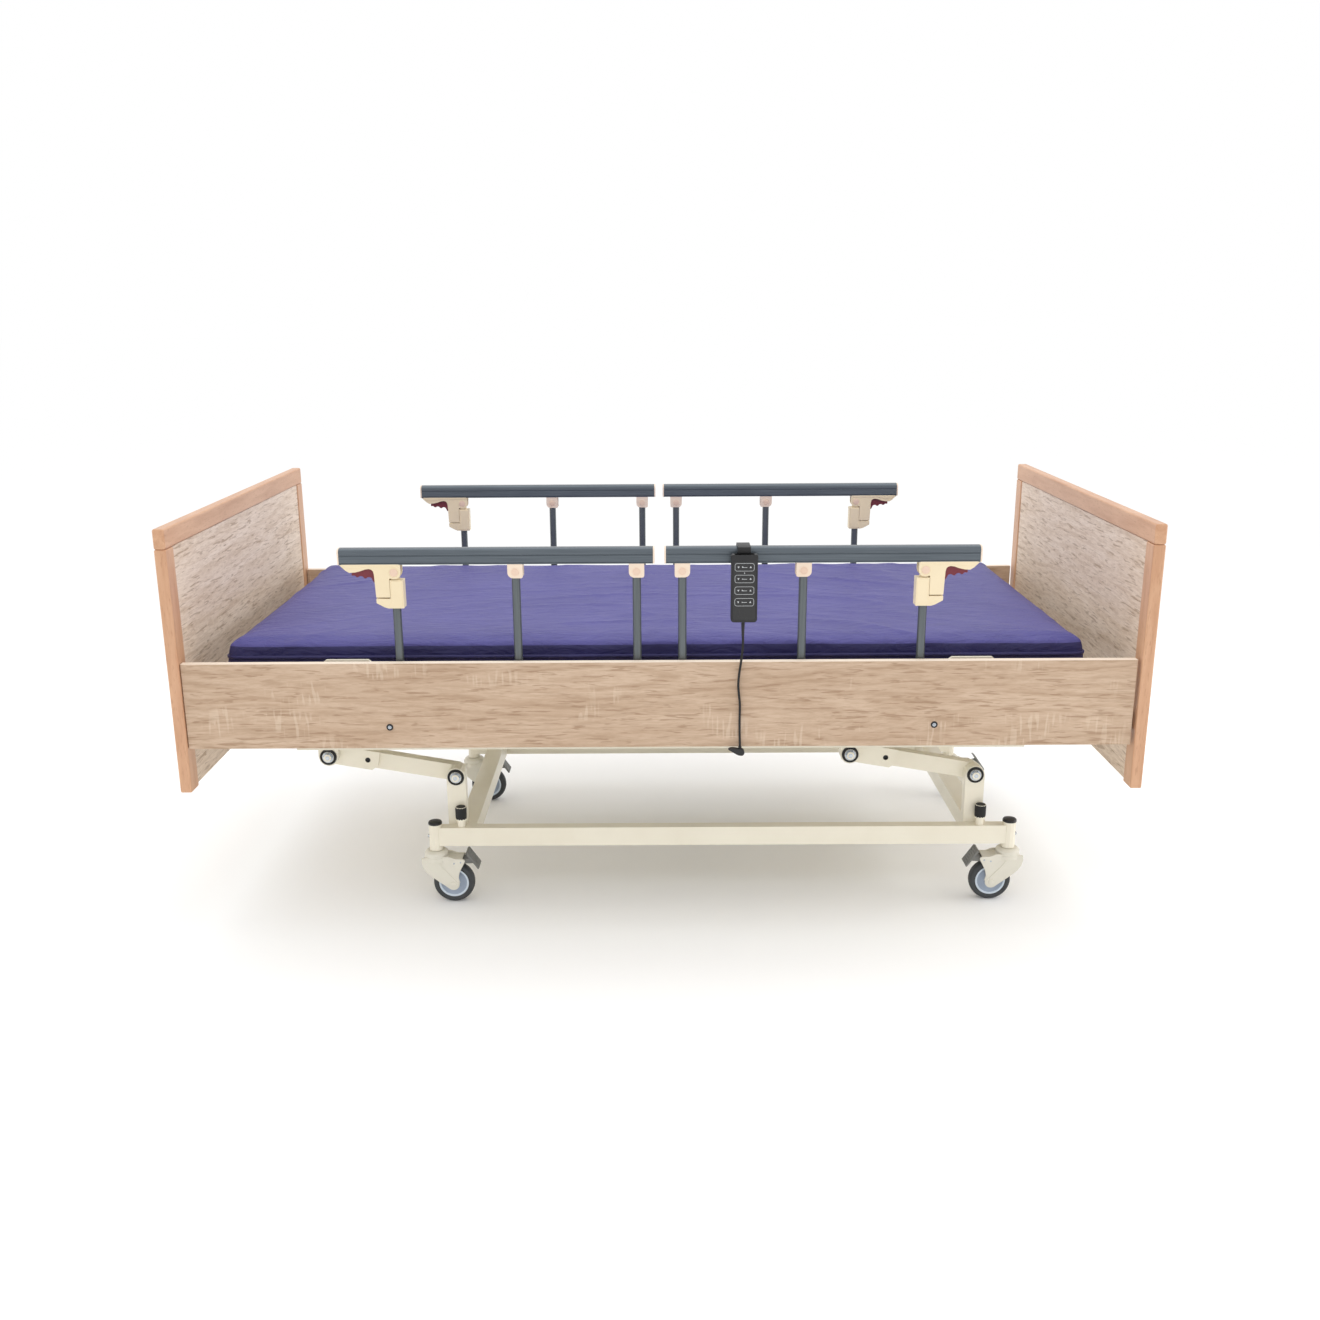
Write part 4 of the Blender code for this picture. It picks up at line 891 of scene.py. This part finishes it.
# %% Rail shapes
RAIL_Y, RAIL_HALF = 0.512, 0.015
RAIL_LOW, RAIL_TOP = 0.866, 0.901
RAIL_REACH = (0.0104, 0.687)
CAP = 0.0035
POSTS = {"inner": 0.0490, "mid": 0.3085, "latch": 0.5680}
POST_R, POST_FLAT = 0.0092, 0.0078
TOP_PIVOT_Z, LOW_PIVOT_Z = 0.849, 0.568
BRACKET_HALF = 0.0165
SEAT = 0.0180  # how high the fittings reach above the pivots, into the handrail
PIVOT_CAP = {
    "bracket": [(0.0, 0.0147), (0.0050, 0.0146), (0.0070, 0.0144), (0.0078, 0.0140), (0.0079, 0.0130)],
    "latch": [(0.0, 0.0147), (0.0055, 0.0146), (0.0078, 0.0144), (0.0087, 0.0140), (0.0088, 0.0130)],
}
PIVOT_RIM = {
    "bracket": [(0.0088, 0.0131), (0.0090, 0.0142), (0.0102, 0.0142), (0.0106, 0.0131)],
    "latch": [(0.0098, 0.0131), (0.0100, 0.0142), (0.0112, 0.0142), (0.0116, 0.0131)],
}


def rail_section(grow=0.0, groove=0.0012):
    """The handrail's outline across its length, in (y from its middle, z)."""
    half, top, low = RAIL_HALF + grow, RAIL_TOP + grow * 0.5, RAIL_LOW - grow * 0.5
    right = arc((half - 0.0095, top - 0.0095), 0.0095, 90, 0, 8)
    side = [(half, 0.8866), (half - groove, 0.8858), (half - groove, 0.8848), (half, 0.8840), (half, 0.8700),
            (half - groove, 0.8694), (half - groove, 0.8688), (half, 0.8682), (half - 0.0006, low)]
    if not groove:
        side = [(half, low + 0.001), (half - 0.001, low)]
    outline = right + side
    return outline + [(-y, z) for y, z in reversed(outline)]


def rail(end, side):
    way = -1 if end == "head" else 1
    near = -1 if side == "near" else 1
    y = near * RAIL_Y
    tag = f"{end}_{side}"
    body = f"rail_{tag}"

    def across(points):
        """Points given outward from the latch pivot and up from it."""
        return [(way * (POSTS["latch"] + u), TOP_PIVOT_Z + w) for u, w in points]

    section = [(y + across_y, z) for across_y, z in rail_section(-0.0004)]
    start, stop = (way * value for value in RAIL_REACH)
    tube = slab(section, "X", start + way * CAP, stop - way * CAP)
    piece(f"handrail_{tag}", body, [tube], RAIL_METAL, 0.0003, [f"side_rail_{tag}"], smooth=25)
    cap_section = [(y + across_y, z) for across_y, z in rail_section(-0.0002, 0.0)]
    caps = [slab(cap_section, "X", start, start + way * CAP), slab(cap_section, "X", stop - way * CAP, stop)]
    piece(f"rail_caps_{tag}", body, caps, BRACKET_CREAM, 0.0008)

    brackets, pins = [], []

    def pivot_rims(kind, post, steps):
        """Adds the caps of one pivot to the pins, and returns the rims round them."""
        centre = (way * POSTS[post], y, TOP_PIVOT_Z)
        pins.extend(stud(PIVOT_CAP[kind], face, centre, steps) for face in (-1, 1))
        return [stud(PIVOT_RIM[kind], face, centre, steps) for face in (-1, 1)]

    for post in ("inner", "mid"):
        x = POSTS[post] - POSTS["latch"]
        low, high = x - BRACKET_HALF, x + BRACKET_HALF
        outline = [(high, SEAT), (low, SEAT)]
        outline += arc((x - 0.0120, -0.0090), 0.0045, 180, 270, 5)
        outline += arc((x + 0.0045, -0.0015), 0.0120, 270, 360, 8)
        brackets += both_sides(across(outline), y, 0.0100, 0.0136)
        bridge = across([(low, SEAT), (low, 0.0120), (high, 0.0120), (high, SEAT)])
        brackets.append(centred(bridge, y, 0.0120))
        brackets += pivot_rims("bracket", post, 32)
    piece(f"rail_brackets_{tag}", body, brackets, BRACKET_CREAM, 0.0012)

    shell = across([(-0.0145, SEAT), (-0.0145, 0.0)] + arc((0, 0), 0.0145, 190, 300, 8)
                   + [(0.0102, -0.0130), (0.0102, -0.0540), (0.0405, -0.0540), (0.0425, -0.0040),
                      (0.0440, 0.0030), (0.0475, 0.0068), (0.0530, 0.0082), (0.0610, 0.0072),
                      (0.0710, 0.0036), (0.0830, 0.0008), (0.0950, 0.0002), (0.1030, 0.0050),
                      (0.1165, SEAT)])
    core = across([(0.0102, SEAT), (0.0102, -0.0540), (0.0405, -0.0540), (0.0425, SEAT)])
    shelf = across([(-0.0120, 0.0182), (-0.0120, 0.0130), (0.0600, 0.0130), (0.0800, 0.0100),
                    (0.1020, 0.0100), (0.1120, 0.0182)])
    latch = both_sides(shell, y, 0.0084, 0.0136)
    latch.append(centred(core, y, 0.0100))
    latch += both_sides(shelf, y, 0.0132, 0.0145)
    latch += pivot_rims("latch", "latch", 36)
    piece(f"pivot_caps_{tag}", body, pins, CAP_PINK, smooth=40)
    piece(f"latch_shell_{tag}", body, latch, LATCH_CREAM, 0.0011)

    trigger = across(smooth_line([
        (0.0440, 0.0060), (0.0434, -0.0060), (0.0436, -0.0215), (0.0462, -0.0190), (0.0500, -0.0118),
        (0.0560, -0.0104), (0.0605, -0.0130), (0.0645, -0.0126), (0.0680, -0.0090), (0.0735, -0.0082),
        (0.0775, -0.0104), (0.0815, -0.0098), (0.0850, -0.0068), (0.0900, -0.0070), (0.0912, -0.0030),
        (0.0850, 0.0045)], 4))
    piece(f"trigger_{tag}", f"trigger_{tag}", [centred(trigger, y, 0.0081)], MAROON,
          0.0012, [f"latch_trigger_{tag}"])

    lower = across([(-0.0185, -0.0165), (-0.0185, -0.0775), (-0.0170, -0.0780), (0.0150, -0.0780),
                    (0.0230, -0.0757), (0.0400, -0.0665), (0.0405, -0.0650), (0.0405, -0.0566),
                    (0.0096, -0.0566), (0.0096, -0.0165)])
    face_plate = across([(-0.0160, -0.0190), (-0.0160, -0.0745), (0.0140, -0.0745), (0.0070, -0.0600),
                         (0.0070, -0.0190)])
    tongue = across([(-0.0090, -0.0200), (0.0090, -0.0200)] + arc((0, 0), 0.0100, 0, 180, 12))
    block = both_sides(lower, y, 0.0, 0.0138) + both_sides(face_plate, y, 0.0134, 0.0146)
    block.append(centred(tongue, y, 0.0070))
    piece(f"latch_block_{tag}", f"latch_post_{tag}", block, LATCH_CREAM, 0.0011)

    for post, x in POSTS.items():
        top = TOP_PIVOT_Z - 0.0600 if post == "latch" else TOP_PIVOT_Z + 0.0105
        profile = [(way * x + u, y + max(-POST_FLAT, min(POST_FLAT, v)))
                   for u, v in circle((0.0, 0.0), POST_R)]
        tube = slab(profile, "Z", LOW_PIVOT_Z - 0.0120, top)
        piece(f"rail_post_{post}_{tag}", f"{post}_post_{tag}", [tube], POST_METAL, 0.0004,
              [f"rail_{post}_post_{tag}"], smooth=40)


for corner in CORNERS:
    rail(*corner)
print("side rails made")

# %% [markdown]
# ## The mattress
# A foam slab in a cover that is pulled tight and crumples in fine creases. The cover starts as a slab
# slightly smaller than the foam's space, is remeshed evenly, and is inflated by a short cloth
# simulation so that its faces crown and its corners pull in. Creases are then laid over it by noise.

# %% Build and inflate the cover
mattress_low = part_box("mattress_back")[0]
mattress_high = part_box("mattress_calf")[1]
INSET, SWELL_LIMIT = 0.005, 0.008
VOXEL = 0.010
HELD_BELOW = 0.006
INFLATE_FRAMES = 12


def cover_slab():
    """A slab with rounded edges, slightly smaller than the foam's space."""
    shape = bmesh.new()
    bmesh.ops.create_cube(shape, size=1.0)
    for point in shape.verts:
        for axis in range(3):
            inset = INSET if axis < 2 else INSET * (0.8 if point.co[axis] > 0 else 0.1)
            edge = mattress_high[axis] - inset if point.co[axis] > 0 else mattress_low[axis] + inset
            point.co[axis] = edge
    bmesh.ops.bevel(shape, geom=shape.edges, offset=0.012, segments=3, profile=0.6, affect="EDGES")
    return add_object("mattress_cover", baked(shape, "mattress cover"))


def apply_all(thing):
    """Bake what the modifiers show into the mesh."""
    bpy.context.view_layer.update()
    evaluated = thing.evaluated_get(bpy.context.evaluated_depsgraph_get())
    mesh = bpy.data.meshes.new_from_object(evaluated)
    thing.modifiers.clear()
    thing.data = mesh


cover = cover_slab()
remesh = cover.modifiers.new("even mesh", "REMESH")
remesh.mode = "VOXEL"
remesh.voxel_size = VOXEL
apply_all(cover)
rest_points = [point.co.copy() for point in cover.data.vertices]
under = cover.vertex_groups.new(name="held on the deck")
held = [point.index for point in cover.data.vertices if point.co.z < mattress_low[2] + HELD_BELOW]
under.add(held, 1.0, "REPLACE")
cloth = cover.modifiers.new("inflate", "CLOTH")
cloth.settings.use_pressure = True
cloth.settings.uniform_pressure_force = 4.0
cloth.settings.vertex_group_mass = under.name
cloth.settings.effector_weights.gravity = 0.0
cloth.settings.quality = 4
cloth.collision_settings.use_collision = False
for step in range(1, INFLATE_FRAMES + 1):
    bpy.context.scene.frame_set(step)
apply_all(cover)
bpy.context.scene.frame_set(1)
for point, start in zip(cover.data.vertices, rest_points):
    moved = point.co - start
    if moved.length > SWELL_LIMIT:
        point.co = start + moved * (SWELL_LIMIT / moved.length)
print("cover has", len(cover.data.vertices), "points")

# %% [markdown]
# ### Creases
# Creases in a tight cover run in families. Long shallow ones fan out toward the ends of the bed, with
# shorter crumples and fine wrinkles among them, and a few sharper folds lie across. Ridged noise,
# stretched along each family's direction, draws them all. The border has upright folds of its own,
# which fade out at the seam so that the seam stays straight.

# %% Lay the creases
SEAM_Z = 0.6440
SEAM_OUT = 0.0022
SEAM_ROUND = 0.028
SEAM_FADE = 0.012
FAN_TURN = 24.0
CREST_SHARP = 4.5
CREASES = ((0.0046, 5.2, 1.7, 3.0), (0.0022, 3.4, 6.5, 11.0), (0.0008, 2.6, 14.0, 31.0))
FOLD_HEIGHT, DRAPE_HEIGHT = 0.0028, 0.0016
UNDERSIDE, UPRIGHT = -0.5, 0.6
middle_x = (mattress_low[0] + mattress_high[0]) / 2
half_x = (mattress_high[0] - mattress_low[0]) / 2


def ridge(point, stretch, scale, seed):
    """Sharp-crested noise: 1 along a crease's crest and falling off to 0."""
    where = Vector((point.x * stretch[0], point.y * stretch[1], point.z * stretch[2])) * scale
    return 1.0 - min(1.0, abs(noise.noise(where + Vector((seed, seed * 0.7, 0.0)))) * CREST_SHARP)


def crease_height(point):
    """How far the top stands out at a point, in metres."""
    along = (point.x - middle_x) / half_x
    turn = math.radians(FAN_TURN * along)
    turned_point = Vector((point.x * math.cos(turn) - point.y * math.sin(turn),
                           point.x * math.sin(turn) + point.y * math.cos(turn), point.z))
    height = sum(tall * ridge(turned_point, (1.0, squeeze, 1.0), scale, seed) ** 2
                 for tall, squeeze, scale, seed in CREASES)
    height += FOLD_HEIGHT * ridge(point, (3.0, 1.0, 1.0), 1.7, 23.0) ** 6
    patch = 0.30 + 0.70 * min(1.0, max(0.0, 0.5 + 1.6 * noise.noise(point * 2.3)))
    return height * patch


def drape_height(point):
    """How far the border stands out at a point, in metres, fading to nothing at the seam."""
    fade = min(1.0, abs(point.z - SEAM_Z) / SEAM_FADE)
    return ridge(point, (4.0, 4.0, 0.7), 4.0, 41.0) ** 2 * DRAPE_HEIGHT * fade


normals = [point.normal.copy() for point in cover.data.vertices]
for point, normal in zip(cover.data.vertices, normals):
    if normal.z > UNDERSIDE:
        height = drape_height if abs(normal.z) < UPRIGHT else crease_height
        point.co = point.co + normal * height(point.co)
subdivide = cover.modifiers.new("smooth", "SUBSURF")
subdivide.levels = subdivide.render_levels = 1
apply_all(cover)
print("creased cover has", len(cover.data.vertices), "points")

# %% [markdown]
# ### Border, seam and folds
# The border is darker than the top: partly the cloths' own colours, partly painted light on the top and
# painted shade down the border. A narrow flap runs round the border over the zip. Border and top are two
# cloths of one mesh. The bed folds at three joints, and a bending piece can cross only one joint, so the mesh
# is cut at two places that never bend. Normals are copied from the whole cover, so that no cut shows.

# %% Cloths, seam and the three pieces, one round each fold
cover.data.materials.append(COVER_TOP_CLOTH_AND_LIGHT)
cover.data.materials.append(COVER_BORDER_CLOTH_AND_SHADE)
cover.data.shade_smooth()
TOP_DEPTH, FACING_UP = 0.014, 0.55
top_edge = mattress_high[2] - TOP_DEPTH
# Upward faces get the top cloth, painted lighter; the border gets the darker cloth, which holds painted
# shade.
for face in cover.data.polygons:
    face.material_index = 1 if face.center.z < top_edge and face.normal.z < FACING_UP else 0

FOLDS = (
    ("back", "bed", "back_section", -0.240, (0.080, -0.130)),
    ("seat", "bed", "thigh_section", -0.020, (-0.075, 0.085)),
    ("knee", "thigh_section", "calf_section", 0.330, (-0.090, 0.100)),
)
CUTS = (-0.135, 0.150)
REACHES = ((-2.0, CUTS[0]), CUTS, (CUTS[1], 2.0))


def cut_out(source, name, low_x, high_x):
    """A copy of a mesh between two X planes, with the source's smooth normals."""
    shape = bmesh.new()
    shape.from_mesh(source)
    layer = shape.verts.layers.float_vector.new("smooth_normal")
    for point in shape.verts:
        point[layer] = point.normal
    for x, way in ((low_x, -1), (high_x, 1)):
        everything = shape.verts[:] + shape.edges[:] + shape.faces[:]
        bmesh.ops.bisect_plane(shape, geom=everything, dist=0.00001, plane_co=(x, 0, 0),
                               plane_no=(way, 0, 0), clear_outer=True)
    normals = [tuple(Vector(point[layer]).normalized()) for point in shape.verts]
    mesh = baked(shape, name)
    mesh.normals_split_custom_set_from_vertices(normals)
    for material in source.materials:
        mesh.materials.append(material)
    return add_object(name, mesh)


SEAM_STEP = 0.012
SEAM_SECTION = ((-0.0100, 0.0034), (-0.0014, 0.0034), (0.0, 0.0022), (0.0, -0.0016), (-0.0014, -0.0026),
                (-0.0100, -0.0026))


def seam_mesh():
    """A thin flap round the border: a narrow strip that follows the slab's outline."""
    reach_x, reach_y = half_x - INSET + SEAM_OUT, mattress_high[1] - INSET + SEAM_OUT
    outline = rounded((middle_x - reach_x, middle_x + reach_x), (-reach_y, reach_y), SEAM_ROUND)
    fine = []
    for here, start in enumerate(outline):
        stop = outline[(here + 1) % len(outline)]
        steps = max(1, round(math.dist(start, stop) / SEAM_STEP))
        for step in range(steps):
            share = step / steps
            fine.append((start[0] + (stop[0] - start[0]) * share, start[1] + (stop[1] - start[1]) * share))
    corners, faces = [], []
    count, rows = len(fine), len(SEAM_SECTION)
    for here, (x, y) in enumerate(fine):
        before, after = fine[here - 1], fine[(here + 1) % count]
        run = Vector((after[0] - before[0], after[1] - before[1])).normalized()
        outward = Vector((run.y, -run.x))
        wave = 0.0006 * noise.noise(Vector((x, y, 0.0)) * 22.0)
        for out, rise in SEAM_SECTION:
            corners.append((x + outward.x * out, y + outward.y * out, SEAM_Z + rise + wave))
    for here in range(count):
        this, after = here * rows, (here + 1) % count * rows
        for row in range(rows):
            following = (row + 1) % rows
            faces.append((this + row, this + following, after + following, after + row))
    return mesh_of("seam flap", [(corners, faces)], COVER_BORDER_CLOTH_AND_SHADE, join=False)


flap = seam_mesh()
REPLACED = (("mattress_back",), ("mattress_seat",), ("mattress_thigh", "mattress_calf"))
for (name, first, second, hinge_x, (start, end)), (low_x, high_x), nodes in zip(FOLDS, REACHES, REPLACED):
    for kind, source in (("cover", cover.data), ("seam", flap)):
        part = cut_out(source, f"mattress_{kind}_{name}", low_x, high_x)
        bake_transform(part)
        if kind == "cover":
            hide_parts(*nodes)
bpy.data.objects.remove(cover, do_unlink=True)
print("mattress pieces made", len(FOLDS) * 2)

# %% [markdown]
# ## Room and light
# A plain white floor under an even white sky, and three wide soft lamps: one big panel overhead, and
# one beyond each end of the bed, which lights the inner face of the board at the other end.

# %% Floor and lamps
WHITE = (1.0, 1.0, 1.0, 1.0)
FLOOR_HALF = 60.0
floor_finish = Finish("pale floor", 0.9)
floor_finish.set(Base_Color=WHITE, Specular_IOR_Level=0.0)
floor_mesh = bpy.data.meshes.new("floor")
floor_mesh.from_pydata([(-FLOOR_HALF, -FLOOR_HALF, 0), (FLOOR_HALF, -FLOOR_HALF, 0),
                        (FLOOR_HALF, FLOOR_HALF, 0), (-FLOOR_HALF, FLOOR_HALF, 0)], [], [(0, 1, 2, 3)])
floor_mesh.materials.append(floor_finish.material)
floor = add_object("floor", floor_mesh)

world = bpy.data.worlds.new("studio")
bpy.context.scene.world = world
world.use_nodes = True
background = world.node_tree.nodes["Background"]
background.inputs["Color"].default_value = WHITE
background.inputs["Strength"].default_value = 1.0


def lamp(name, place, aim, size, watts):
    data = bpy.data.lights.new(name, "AREA")
    data.shape = "RECTANGLE"
    data.size, data.size_y = size
    data.energy = watts
    made = add_object(name, data)
    made.location = place
    made.rotation_euler = (Vector(aim) - Vector(place)).to_track_quat("-Z", "Y").to_euler()


lamp("top panel", (0.0, 0.2, 3.4), (0.0, 0.0, 0.4), (3.6, 2.4), 26.0)
lamp("left panel", (-3.6, -0.4, 1.5), (1.0, 0.0, 0.6), (1.8, 1.8), 18.0)
lamp("right panel", (3.6, -0.4, 1.5), (-1.0, 0.0, 0.6), (1.8, 1.8), 30.0)
bpy.context.scene.view_settings.view_transform = "Standard"
print("lamps placed")
